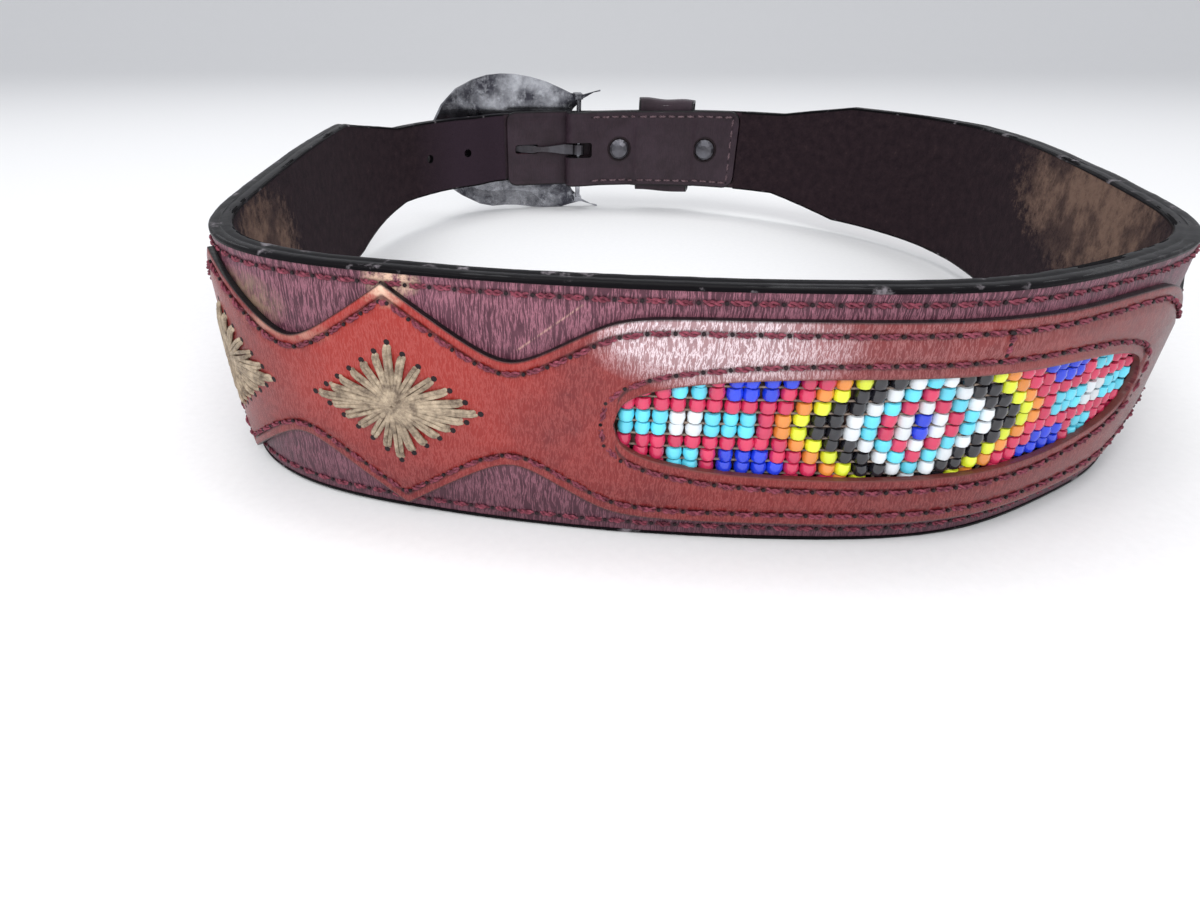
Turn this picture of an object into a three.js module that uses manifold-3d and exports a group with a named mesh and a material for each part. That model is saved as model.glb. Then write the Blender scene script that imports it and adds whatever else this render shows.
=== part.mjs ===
// A beaded leather belt, fastened and standing on its lower edge. Millimetres, +Z up.
// Places on the belt are given flat: along the strap from the middle of the bead panel, out from the outer
// face of the base strap, and height over its lower edge. place() bends them round the loop.
import * as THREE from "three";
import { mergeVertices } from "three/addons/utils/BufferGeometryUtils.js";
import Module from "manifold-3d";

const wasm = await Module();
wasm.setup();

// Strap sizes
const LOOP_LENGTH = 900;
const BELT_WIDTH = 51;
const BUCKLE_STRAP_WIDTH = 38;
const BILLET_WIDTH = 34;
const BASE_THICKNESS = 2.3;
const LINING_THICKNESS = 2.1;
const OVERLAY_THICKNESS = 1.6;
const GAP = 0.3;
const STRAP_STEP = 7.5;
const MIDDLE = BELT_WIDTH / 2;

// Overlay and bead panel sizes
const PANEL_HALF_LENGTH = 56;
const PANEL_HALF_HEIGHT = 0.402 * BELT_WIDTH;
const NECK_HALF_HEIGHT = 0.212 * BELT_WIDTH;
const DIAMOND_PITCH = 44;
const FIRST_NECK = PANEL_HALF_LENGTH + 17;
const DIAMONDS_A_SIDE = 2;
const DIAMOND_SLOPE = 0.712;
const NECK_ROUNDING = 5;
const PANEL_ROUNDING = 3;
const OVERLAY_TAIL = 11;
const OVERLAY_STEP = DIAMOND_PITCH / 12;
const WINDOW_HALF_LENGTH = PANEL_HALF_LENGTH - 2;
const WINDOW_HALF_HEIGHT = 0.202 * BELT_WIDTH;
const WINDOW_POWER = 3;
const WINDOW_STEPS = 12;
const UNDERCUT = 1.3;
const BEAD_PANEL_THICKNESS = 2;

// Star sizes
const STAR_HALF_LENGTH = 17;
const STAR_HALF_HEIGHT = 12.8;
const STAR_THICKNESS = 1;
const STAR_RAYS = 24;
const STAR_NOTCH = 0.62;
const STAR_RINGS = 3;

// Buckle end sizes
const BAR_ALONG = 0.4876 * LOOP_LENGTH;
const BAR_RADIUS = 1.25;
const BAR_OUT = -(BASE_THICKNESS + GAP / 2);
const FOLD_LENGTH = 3;
const FOLD_SPREAD = 1.4;
const FLAP_LENGTH = 87;
const SNAP_RADIUS = 5.1;
const SNAP_HEIGHT = 2.4;
const SNAP_POST_RADIUS = 2;
const SNAP_CAP_RADIUS = 4.5;
const SNAP_CAP_THICKNESS = 0.8;
const FIRST_SNAP = 22.4;
const SNAP_PITCH = 47.4;
const KEEPER_FROM = 61.2;
const KEEPER_TO = 32.6;
const KEEPER_HEIGHT = 46;
const KEEPER_THICKNESS = 1.4;
const KEEPER_RAMP = 3.2;
const GUARD_LENGTH = 38;
const GUARD_THICKNESS = 1.8;
const SLOT_FROM = 21;
const SLOT_LENGTH = 13;
const SLOT_HEIGHT = 4.7;
const PRONG_SLOT_HEIGHT = 7.6;
const PRONG_SLOT_LENGTH = 15;
const PRONG_SLOT_TO = FOLD_LENGTH + 5;
const PRONG_RING_RADIUS = 3.1;
const PRONG_LENGTH = 33;
const PRONG_WIDTH = 5;
const PRONG_THICKNESS = 1.6;

// Billet sizes
const BILLET_OVERLAP = 79;
const BILLET_RISE = 6.1;
const BILLET_REST = 4;
const HOLE_RADIUS = 2;
const HOLE_PITCH = 25.4;
const FIRST_HOLE = 63.4;
const VISIBLE_HOLES = 2;

// Buckle plate sizes
const PLATE_OUT = 6.6;
const PLATE_THICKNESS = 1.8;
const PLATE_DOME = 3;
const PLATE_LENGTH = 90.5;
const PLATE_BEHIND_BAR = 12.3;
const PLATE_HALF_HEIGHT = 35;
const PLATE_CENTRE = MIDDLE + 1;
const BAR_HALF_LENGTH = 0.786 * PLATE_HALF_HEIGHT;
const ARM_WIDTH = 4;
const ARM_HEIGHT = 2.5;
const HORN_CUT = {
  past: -1.2 * PLATE_BEHIND_BAR,
  halfLength: 0.265 * PLATE_LENGTH,
  halfHeight: 0.871 * PLATE_HALF_HEIGHT,
  height: PLATE_CENTRE - 0.12 * PLATE_HALF_HEIGHT,
};

// How far the strap turns at each share of the loop, where 1 is a round loop
const BENDS = [
  { share: 0, bend: 0.51 },
  { share: 0.035, bend: 0.26 },
  { share: 0.07, bend: 2.25 },
  { share: 0.1, bend: 0.28 },
  { share: 0.135, bend: 2.94 },
  { share: 0.18, bend: 0.09 },
  { share: 0.25, bend: 0.27 },
  { share: 0.32, bend: 1.6 },
  { share: 0.4, bend: 0.7 },
  { share: 0.48, bend: 1.39 },
  { share: 0.55, bend: 0.39 },
  { share: 0.62, bend: 2.13 },
  { share: 0.68, bend: 1.17 },
  { share: 0.76, bend: 0.15 },
  { share: 0.86, bend: 0.06 },
  { share: 0.905, bend: 4.02 },
  { share: 0.95, bend: 0.4 },
  { share: 1, bend: 0.51 },
];
const FRONT_HEADING = THREE.MathUtils.degToRad(-6.55);
const PANEL_SHARE = 0.0567;
const LOOP_STEPS = 900;

// Half the strap's width and the height of its middle at each share of the loop, narrow at both ends
const STRAP_SHAPE = [
  { share: -0.389, half: BILLET_WIDTH / 2, middle: MIDDLE },
  { share: -0.328, half: BELT_WIDTH / 2, middle: MIDDLE },
  { share: 0.327, half: BELT_WIDTH / 2, middle: MIDDLE },
  { share: 0.366, half: BUCKLE_STRAP_WIDTH / 2, middle: MIDDLE + 1 },
  { share: 0.491, half: BUCKLE_STRAP_WIDTH / 2, middle: MIDDLE - 1.2 },
];

// Upper and lower edge of the buckle plate, as shares of its half height, along its length from the horns
const PLATE_EDGES = [
  { share: 0, top: 0.757, bottom: -0.997 },
  { share: 0.103, top: 0.689, bottom: -0.911 },
  { share: 0.169, top: 0.714, bottom: -0.951 },
  { share: 0.224, top: 0.78, bottom: -0.991 },
  { share: 0.313, top: 0.88, bottom: -0.994 },
  { share: 0.401, top: 0.946, bottom: -0.98 },
  { share: 0.49, top: 0.989, bottom: -0.94 },
  { share: 0.567, top: 1, bottom: -0.923 },
  { share: 0.644, top: 0.986, bottom: -0.923 },
  { share: 0.722, top: 0.934, bottom: -0.866 },
  { share: 0.821, top: 0.82, bottom: -0.711 },
  { share: 0.909, top: 0.62, bottom: -0.529 },
  { share: 0.965, top: 0.4, bottom: -0.357 },
  { share: 1, top: 0.02, bottom: 0.009 },
];
const PLATE_ROWS = [0, 0.12, 0.32, 0.5, 0.68, 0.88, 1];

// The prong: shares of its length, of the way out from the bar to the plate, and of its width and thickness
const PRONG_SHAPE = [
  { share: 0.067, out: 0.017, width: 1, thickness: 1 },
  { share: 0.224, out: 0.204, width: 1, thickness: 1 },
  { share: 0.424, out: 0.293, width: 0.64, thickness: 1 },
  { share: 0.621, out: 0.326, width: 0.44, thickness: 1 },
  { share: 0.742, out: 0.459, width: 0.76, thickness: 0.938 },
  { share: 0.894, out: 0.713, width: 0.76, thickness: 0.875 },
  { share: 1, out: 0.867, width: 0.48, thickness: 0.75 },
];

// The value of a column at a place in a table, with straight steps between its rows
function lookUp(table, key, at, column) {
  const next = table.findIndex((row) => row[key] > at);
  if (next === 0) return table[0][column];
  if (next < 0) return table[table.length - 1][column];
  const [from, to] = [table[next - 1], table[next]];
  return THREE.MathUtils.mapLinear(at, from[key], to[key], from[column], to[column]);
}

// The outer face of the base strap seen from above, anticlockwise, closed by sharing out the last gap
function loopPoints() {
  const step = LOOP_LENGTH / LOOP_STEPS;
  const bends = Array.from({ length: LOOP_STEPS }, (_, i) =>
    lookUp(BENDS, "share", (i + 0.5) / LOOP_STEPS, "bend"),
  );
  const turn = (2 * Math.PI) / bends.reduce((sum, bend) => sum + bend, 0);
  const points = [new THREE.Vector2(0, 0)];
  let heading = FRONT_HEADING;
  for (const bend of bends) {
    const middle = heading + (bend * turn) / 2;
    const last = points[points.length - 1];
    points.push(new THREE.Vector2(last.x + step * Math.cos(middle), last.y + step * Math.sin(middle)));
    heading += bend * turn;
  }
  const miss = points[LOOP_STEPS].clone();
  return points.slice(0, LOOP_STEPS).map((point, i) => point.addScaledVector(miss, -i / LOOP_STEPS));
}

const LOOP = loopPoints();

// Where a distance along the strap lies on the loop, and which way is out
function onLoop(along) {
  const share = THREE.MathUtils.euclideanModulo(along / LOOP_LENGTH + PANEL_SHARE, 1) * LOOP_STEPS;
  const index = Math.floor(share);
  const corners = [-1, 0, 1, 2].map((i) => LOOP[(index + i + LOOP_STEPS) % LOOP_STEPS]);
  const point = corners[1].clone().lerp(corners[2], share - index);
  const before = corners[2].clone().sub(corners[0]);
  const after = corners[3].clone().sub(corners[1]);
  const travel = before.lerp(after, share - index).normalize();
  return { point, outward: new THREE.Vector2(travel.y, -travel.x) };
}

function place([along, out], height) {
  const { point, outward } = onLoop(along);
  return [point.x + outward.x * out, point.y + outward.y * out, height];
}

// Moves a shape whose +Y is its outward axis and +Z its upper side onto the strap
function frameAt(along, out, height) {
  const outward = new THREE.Vector3(...onLoop(along).outward, 0);
  const up = new THREE.Vector3(0, 0, 1);
  const side = new THREE.Vector3().crossVectors(outward, up);
  const matrix = new THREE.Matrix4().makeBasis(side, outward, up);
  return matrix.setPosition(...place([along, out], height));
}

// A closed geometry as a solid that can be joined and cut
function toSolid(geometry) {
  geometry.deleteAttribute("normal");
  geometry.deleteAttribute("uv");
  const merged = mergeVertices(geometry, 1e-4);
  const corners = [];
  for (let i = 0; i < merged.index.count; i += 3) {
    const face = [0, 1, 2].map((k) => merged.index.getX(i + k));
    if (new Set(face).size === 3) corners.push(...face);
  }
  const vertProperties = new Float32Array(merged.attributes.position.array);
  return new wasm.Manifold(new wasm.Mesh({ numProp: 3, vertProperties, triVerts: new Uint32Array(corners) }));
}

function solidFrom(points, faces) {
  const geometry = new THREE.BufferGeometry();
  geometry.setAttribute("position", new THREE.Float32BufferAttribute(points.flat(), 3));
  geometry.setIndex(faces.flat());
  return toSolid(geometry);
}

function toGeometry(solid) {
  const mesh = solid.getMesh();
  const geometry = new THREE.BufferGeometry();
  geometry.setAttribute("position", new THREE.BufferAttribute(mesh.vertProperties, 3));
  geometry.setIndex(new THREE.BufferAttribute(mesh.triVerts, 1));
  return geometry;
}

// A strip that follows the loop. Each station holds an outer and an inner [along, out] and the heights of its
// rows; between its second and third row a station that is pierced leaves the strip open.
function strip(stations) {
  const rows = stations[0].rows.length;
  const points = stations.flatMap(({ outer, inner, rows: heights, bulge = () => 0 }) =>
    heights.flatMap((height) => [
      place([outer[0], outer[1] + bulge(height)], height),
      place([inner[0], inner[1] + bulge(height)], height),
    ]),
  );
  const faces = [];
  const quad = (a, b, c, d) => faces.push([a, b, c], [a, c, d]);
  const outerAt = (i, j) => 2 * (i * rows + j);
  const innerAt = (i, j) => outerAt(i, j) + 1;
  const filled = (i, j) => {
    if (i < 0 || j < 0 || i > stations.length - 2 || j > rows - 2) return false;
    return !(j === 1 && (stations[i].pierced || stations[i + 1].pierced));
  };
  for (let i = 0; i < stations.length - 1; i++)
    for (let j = 0; j < rows - 1; j++) {
      if (!filled(i, j)) continue;
      quad(outerAt(i, j), outerAt(i + 1, j), outerAt(i + 1, j + 1), outerAt(i, j + 1));
      quad(innerAt(i, j), innerAt(i, j + 1), innerAt(i + 1, j + 1), innerAt(i + 1, j));
      if (!filled(i, j - 1)) quad(innerAt(i, j), innerAt(i + 1, j), outerAt(i + 1, j), outerAt(i, j));
      if (!filled(i, j + 1))
        quad(outerAt(i, j + 1), outerAt(i + 1, j + 1), innerAt(i + 1, j + 1), innerAt(i, j + 1));
      if (!filled(i - 1, j)) quad(outerAt(i, j), outerAt(i, j + 1), innerAt(i, j + 1), innerAt(i, j));
      if (!filled(i + 1, j))
        quad(innerAt(i + 1, j), innerAt(i + 1, j + 1), outerAt(i + 1, j + 1), outerAt(i + 1, j));
    }
  return solidFrom(points, faces);
}

// Even places from one end to the other, on a grid that all layers of the strap share
function evenPlaces(from, to, step) {
  const places = [from];
  for (let at = Math.ceil(from / step + 0.3) * step; at < to - 0.3 * step; at += step) places.push(at);
  places.push(to);
  return places;
}

// Places in the window, close together at its tips, which the layers also share
function windowPlaces() {
  const places = [-WINDOW_HALF_LENGTH - UNDERCUT];
  for (let i = -WINDOW_STEPS; i <= WINDOW_STEPS; i++)
    places.push(WINDOW_HALF_LENGTH * Math.sin((i * Math.PI) / (2 * WINDOW_STEPS)));
  places.push(WINDOW_HALF_LENGTH + UNDERCUT);
  return places;
}

function strapPlaces(from, to, step) {
  const reach = WINDOW_HALF_LENGTH + UNDERCUT;
  const plain = evenPlaces(from, to, step).filter((along) => Math.abs(along) > reach);
  const shared = windowPlaces().filter((along) => along > from && along < to);
  return [...plain, ...shared].sort((a, b) => a - b);
}

// Height of the window over its middle line, grown all round by an amount
function windowHalfHeight(along, grown) {
  const share = Math.abs(along) / (WINDOW_HALF_LENGTH + grown);
  const left = Math.max(0, 1 - share ** WINDOW_POWER);
  return share > 1 - 1e-9 ? 0 : (WINDOW_HALF_HEIGHT + grown) * left ** (1 / WINDOW_POWER);
}

function strapEdges(along) {
  const share = along / LOOP_LENGTH;
  const half = lookUp(STRAP_SHAPE, "share", share, "half");
  const middle = lookUp(STRAP_SHAPE, "share", share, "middle");
  return { half, middle };
}

// How far the base strap's outer face leaves the loop: out over the bar, and out again where the billet laps
function strapRise(along) {
  const ease = THREE.MathUtils.smoothstep;
  if (along > 0) return FOLD_SPREAD * ease(along, BAR_ALONG - 13.8, BAR_ALONG - 1.8);
  const past = along + LOOP_LENGTH - BAR_ALONG;
  const up = BILLET_RISE * (1 - ease(past, 41.2, 61.2));
  const down = (BILLET_RISE - BILLET_REST) * (1 - ease(past, -23.8, -8.8));
  return up - down;
}

// One station of a strap layer, between two distances in from the outer face
function layer(along, from, to, rows) {
  const rise = strapRise(along);
  return { outer: [along, rise - from], inner: [along, rise - to], rows };
}

// The strap's end gets narrower over its last stretch, as a round end does
function roundedHalf(half, distance, length, cut) {
  const share = THREE.MathUtils.clamp(1 - distance / length, 0, 1);
  return half - cut * (1 - Math.sqrt(1 - share * share));
}

// How far the flap stands off to let the keeper's inner leg through
function keeperRoom(along) {
  const ease = THREE.MathUtils.smoothstep;
  const before = ease(along, BAR_ALONG - KEEPER_FROM - KEEPER_RAMP - GAP, BAR_ALONG - KEEPER_FROM - GAP);
  const after = ease(along, BAR_ALONG - KEEPER_TO + GAP, BAR_ALONG - KEEPER_TO + KEEPER_RAMP + GAP);
  return (KEEPER_THICKNESS + GAP) * (before - after);
}

// Places along the flap, closer together on the ramps beside the keeper
function flapPlaces(flapEnd, foldAlong) {
  const ramps = [BAR_ALONG - KEEPER_FROM - KEEPER_RAMP - GAP, BAR_ALONG - KEEPER_TO + GAP];
  const onRamp = ramps.flatMap((start) => [0, 0.3, 0.7, 1].map((share) => start + share * KEEPER_RAMP));
  const plain = strapPlaces(flapEnd, foldAlong, STRAP_STEP).filter((along) =>
    ramps.every((start) => along < start - 1 || along > start + KEEPER_RAMP + 1),
  );
  return [...plain, flapEnd + 1.2, flapEnd + 3, ...onRamp].sort((a, b) => a - b);
}

// The flap's way back inside the belt, then the fold round the bar
function flapStations() {
  const stations = [];
  const foldAlong = BAR_ALONG + FOLD_LENGTH;
  const inside = BASE_THICKNESS + GAP;
  const flapEnd = BAR_ALONG - FLAP_LENGTH;
  const FOLD_STEPS = 6;
  const { half, middle } = strapEdges(foldAlong);
  const rowsAt = (reach, centre) => [centre - reach, centre, centre, centre + reach];
  const foldOut = BAR_OUT;
  for (let i = 1; i < FOLD_STEPS; i++) {
    const angle = (Math.PI * i) / FOLD_STEPS;
    const turned = (radius) => [foldAlong + radius * Math.sin(angle), foldOut + radius * Math.cos(angle)];
    const inner = FOLD_SPREAD + GAP / 2;
    const rows = rowsAt(half, middle);
    stations.push({ outer: turned(inner + BASE_THICKNESS), inner: turned(inner), rows });
  }
  for (const along of flapPlaces(flapEnd, foldAlong).reverse()) {
    const edges = strapEdges(along);
    const reach = roundedHalf(edges.half, along - flapEnd, 6, 5);
    const sink = -strapRise(along) - inside - keeperRoom(along);
    stations.push({
      outer: [along, sink - BASE_THICKNESS],
      inner: [along, sink],
      rows: rowsAt(reach, edges.middle),
    });
  }
  return stations;
}

// A cylinder through the strap, square to its face
function plug(radius, along, height, fromOut, toOut, sides = 12) {
  const geometry = new THREE.CylinderGeometry(radius, radius, toOut - fromOut, sides);
  return toSolid(geometry.applyMatrix4(frameAt(along, (fromOut + toOut) / 2, height)));
}

// A square-cornered cutter through the strap, between two distances past the bar
function slotCutter(fromPast, toPast, height, slotHeight, fromOut, toOut) {
  const geometry = new THREE.BoxGeometry(toPast - fromPast, toOut - fromOut, slotHeight);
  const along = BAR_ALONG + (fromPast + toPast) / 2;
  return toSolid(geometry.applyMatrix4(frameAt(along, (fromOut + toOut) / 2, height)));
}

const SLOT_TO = SLOT_FROM + SLOT_LENGTH;
const STRAP_END_MIDDLE = strapEdges(BAR_ALONG).middle;
const SNAP_PLACES = [-FIRST_SNAP, -FIRST_SNAP - SNAP_PITCH].map((past) => BAR_ALONG + past);

// The base strap: billet tip, round the loop with the window, over the bar and back as the stitched flap
function baseStrap() {
  const tip = BAR_ALONG - BILLET_OVERLAP - LOOP_LENGTH;
  const places = strapPlaces(tip, BAR_ALONG + FOLD_LENGTH, STRAP_STEP);
  places.splice(1, 0, tip + 1.5, tip + 4);
  const stations = places.map((along) => {
    const edges = strapEdges(along);
    const half = roundedHalf(edges.half, along - tip, 16, 0.75 * edges.half);
    const opening = windowHalfHeight(along, UNDERCUT);
    const rows = [-half, -opening, opening, half].map((row) => edges.middle + row);
    return { ...layer(along, 0, BASE_THICKNESS, rows), pierced: opening > 0 };
  });
  let solid = strip([...stations, ...flapStations()]);
  const through = BASE_THICKNESS + FOLD_SPREAD + 8;
  const cutters = SNAP_PLACES.map((along) =>
    plug(SNAP_POST_RADIUS + GAP, along, strapEdges(along).middle, -through, 1),
  );
  cutters.push(
    slotCutter(PRONG_SLOT_TO - PRONG_SLOT_LENGTH, PRONG_SLOT_TO, STRAP_END_MIDDLE, PRONG_SLOT_HEIGHT, -through, 3),
    slotCutter(SLOT_FROM, SLOT_TO, STRAP_END_MIDDLE, SLOT_HEIGHT, 3, BILLET_RISE + 2),
  );
  for (let i = 0; i < VISIBLE_HOLES; i++) {
    const along = BAR_ALONG + FIRST_HOLE + i * HOLE_PITCH;
    cutters.push(plug(HOLE_RADIUS, along, MIDDLE, -through, through));
  }
  for (const cutter of cutters) solid = solid.subtract(cutter);
  return solid;
}

// The lining: from the flap's end round the inside to the billet's lap, with the billet's holes
function lining() {
  const from = BAR_ALONG + GUARD_LENGTH + 1.6 - LOOP_LENGTH;
  const to = BAR_ALONG - FLAP_LENGTH - 0.6;
  const outer = BASE_THICKNESS + GAP;
  const stations = strapPlaces(from, to, STRAP_STEP).map((along) => {
    const { half, middle } = strapEdges(along);
    return layer(along, outer, outer + LINING_THICKNESS, [middle - half, middle + half]);
  });
  let solid = strip(stations);
  for (let i = 0; i < VISIBLE_HOLES; i++) {
    const along = BAR_ALONG + FIRST_HOLE + i * HOLE_PITCH;
    solid = solid.subtract(plug(HOLE_RADIUS, along, MIDDLE, -outer - LINING_THICKNESS - 2, 4));
  }
  return solid;
}

// Half the overlay's height: the panel, then diamonds with pointed tops between rounded necks
function overlayHalfHeight(along) {
  const distance = Math.abs(along);
  const lastNeck = FIRST_NECK + DIAMONDS_A_SIDE * DIAMOND_PITCH;
  const fromFirst = distance - FIRST_NECK;
  const nearest = THREE.MathUtils.clamp(Math.round(fromFirst / DIAMOND_PITCH), 0, DIAMONDS_A_SIDE);
  const fromNeck = Math.abs(fromFirst - nearest * DIAMOND_PITCH);
  const rise = DIAMOND_SLOPE * (Math.hypot(fromNeck, NECK_ROUNDING) - NECK_ROUNDING);
  if (distance > lastNeck) return roundedHalf(NECK_HALF_HEIGHT, lastNeck + OVERLAY_TAIL - distance, 8, 7);
  if (distance > FIRST_NECK) return NECK_HALF_HEIGHT + rise;
  const open = NECK_HALF_HEIGHT + rise;
  const over = open - PANEL_HALF_HEIGHT;
  return Math.min(open, PANEL_HALF_HEIGHT) - PANEL_ROUNDING * Math.exp(-Math.abs(over) / PANEL_ROUNDING) / 2;
}

function overlay() {
  const end = FIRST_NECK + DIAMONDS_A_SIDE * DIAMOND_PITCH + OVERLAY_TAIL;
  const beside = WINDOW_HALF_LENGTH + UNDERCUT;
  const panel = windowPlaces().slice(1, -1);
  const right = [beside + 3.5, beside + 8, beside + 12.5, FIRST_NECK];
  for (let at = FIRST_NECK + OVERLAY_STEP; at < end - 1; at += OVERLAY_STEP) right.push(at);
  right.push(end);
  const places = [...right.map((at) => -at).reverse(), ...panel, ...right];
  const stations = places.map((along) => {
    const half = overlayHalfHeight(along);
    const opening = windowHalfHeight(along, 0);
    const rows = [-half, -opening, opening, half].map((row) => MIDDLE + row);
    return { ...layer(along, -GAP - OVERLAY_THICKNESS, -GAP, rows), pierced: opening > 0 };
  });
  return strip(stations);
}

// The backing that carries the beads, in the base strap's window
function beadPanel() {
  const grown = UNDERCUT - GAP;
  const end = WINDOW_HALF_LENGTH + grown;
  const places = [-end, ...windowPlaces().slice(1, -1), end];
  const stations = places.map((along) => {
    const half = windowHalfHeight(along, grown);
    return layer(along, 0, BEAD_PANEL_THICKNESS, [MIDDLE - half, MIDDLE + half]);
  });
  return strip(stations);
}

// A thread star on a diamond: ray tips evenly along the four sides of a rhombus, notched between the rays
function star(centre) {
  const corners = [
    [STAR_HALF_LENGTH, 0],
    [0, STAR_HALF_HEIGHT],
    [-STAR_HALF_LENGTH, 0],
    [0, -STAR_HALF_HEIGHT],
  ];
  const spokes = 2 * STAR_RAYS;
  const rim = Array.from({ length: spokes }, (_, i) => {
    const walk = (i / spokes) * 4;
    const from = corners[Math.floor(walk)];
    const to = corners[Math.floor(walk + 1) % 4];
    const share = walk - Math.floor(walk);
    const reach = i % 2 ? STAR_NOTCH : 1;
    return [0, 1].map((axis) => reach * THREE.MathUtils.lerp(from[axis], to[axis], share));
  });
  const under = 2 * GAP + OVERLAY_THICKNESS;
  const points = [];
  for (const out of [under + STAR_THICKNESS, under]) {
    points.push(place([centre, out], MIDDLE));
    for (let ring = 1; ring <= STAR_RINGS; ring++)
      for (const [side, up] of rim) {
        const share = ring / STAR_RINGS;
        points.push(place([centre + side * share, out], MIDDLE + up * share));
      }
  }
  const back = points.length / 2;
  const faces = [];
  for (let i = 0; i < spokes; i++) {
    const next = (i + 1) % spokes;
    faces.push([0, 1 + i, 1 + next], [back, back + 1 + next, back + 1 + i]);
    for (let ring = 1; ring < STAR_RINGS; ring++) {
      const [a, b] = [i, next].map((spoke) => 1 + spoke + (ring - 1) * spokes);
      const [c, d] = [a + spokes, b + spokes];
      faces.push([a, c, d], [a, d, b], [back + a, back + d, back + c], [back + a, back + b, back + d]);
    }
    const [rimHere, rimNext] = [i, next].map((spoke) => 1 + spoke + (STAR_RINGS - 1) * spokes);
    faces.push([rimHere, back + rimHere, back + rimNext], [rimHere, back + rimNext, rimNext]);
  }
  return solidFrom(points, faces);
}

// The corner points of a band's section, [out, height], with rounded corners
function bandSection(outLow, outHigh, low, high, radius) {
  const shape = new THREE.Shape();
  const turns = [
    [outHigh - radius, high - radius, 0],
    [outLow + radius, high - radius, 90],
    [outLow + radius, low + radius, 180],
    [outHigh - radius, low + radius, 270],
  ];
  for (const [x, y, start] of turns) {
    const from = THREE.MathUtils.degToRad(start);
    shape.absarc(x, y, radius, from, from + Math.PI / 2);
  }
  return shape.getPoints(3).slice(0, -1);
}

// The keeper: a leather band round both straps, with its inner leg between the strap and its flap
function keeper() {
  const from = BAR_ALONG - KEEPER_FROM;
  const to = BAR_ALONG - KEEPER_TO;
  const { middle } = strapEdges((from + to) / 2);
  const outside = BILLET_REST + GAP;
  const inside = -(BASE_THICKNESS + GAP);
  const half = KEEPER_HEIGHT / 2;
  const hollowHalf = half - KEEPER_THICKNESS;
  const hollow = bandSection(inside, outside, middle - hollowHalf, middle + hollowHalf, 1);
  const skin = bandSection(
    inside - KEEPER_THICKNESS,
    outside + KEEPER_THICKNESS,
    middle - half,
    middle + half,
    1 + KEEPER_THICKNESS,
  );
  const count = skin.length;
  const places = evenPlaces(from, to, STRAP_STEP);
  const points = places.flatMap((along) =>
    [skin, hollow].flatMap((section) => section.map(({ x, y }) => place([along, x], y))),
  );
  const at = (i, k, inner) => i * 2 * count + (inner ? count : 0) + (k % count);
  const faces = [];
  const quad = (a, b, c, d) => faces.push([a, b, c], [a, c, d]);
  const last = places.length - 1;
  for (let k = 0; k < count; k++) {
    for (let i = 0; i < last; i++) {
      quad(at(i, k, false), at(i + 1, k, false), at(i + 1, k + 1, false), at(i, k + 1, false));
      quad(at(i, k, true), at(i, k + 1, true), at(i + 1, k + 1, true), at(i + 1, k, true));
    }
    quad(at(0, k, false), at(0, k + 1, false), at(0, k + 1, true), at(0, k, true));
    quad(at(last, k, false), at(last, k, true), at(last, k + 1, true), at(last, k + 1, false));
  }
  return solidFrom(points, faces);
}

// A snap: a domed head inside the belt, a post through flap and strap, and a flat cap outside
function snap(along) {
  const head = -(2 * BASE_THICKNESS + 2 * GAP);
  const profile = [
    [0, head - SNAP_HEIGHT],
    [0.45 * SNAP_RADIUS, head - 0.92 * SNAP_HEIGHT],
    [0.8 * SNAP_RADIUS, head - 0.66 * SNAP_HEIGHT],
    [SNAP_RADIUS, head - 0.25 * SNAP_HEIGHT],
    [SNAP_RADIUS, head],
    [SNAP_POST_RADIUS, head],
    [SNAP_POST_RADIUS, GAP],
    [SNAP_CAP_RADIUS, GAP],
    [SNAP_CAP_RADIUS, GAP + SNAP_CAP_THICKNESS],
    [0, GAP + SNAP_CAP_THICKNESS],
  ].map(([radius, out]) => new THREE.Vector2(radius, out));
  const geometry = new THREE.LatheGeometry(profile, 14);
  return toSolid(geometry.applyMatrix4(frameAt(along, 0, strapEdges(along).middle)));
}

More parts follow.
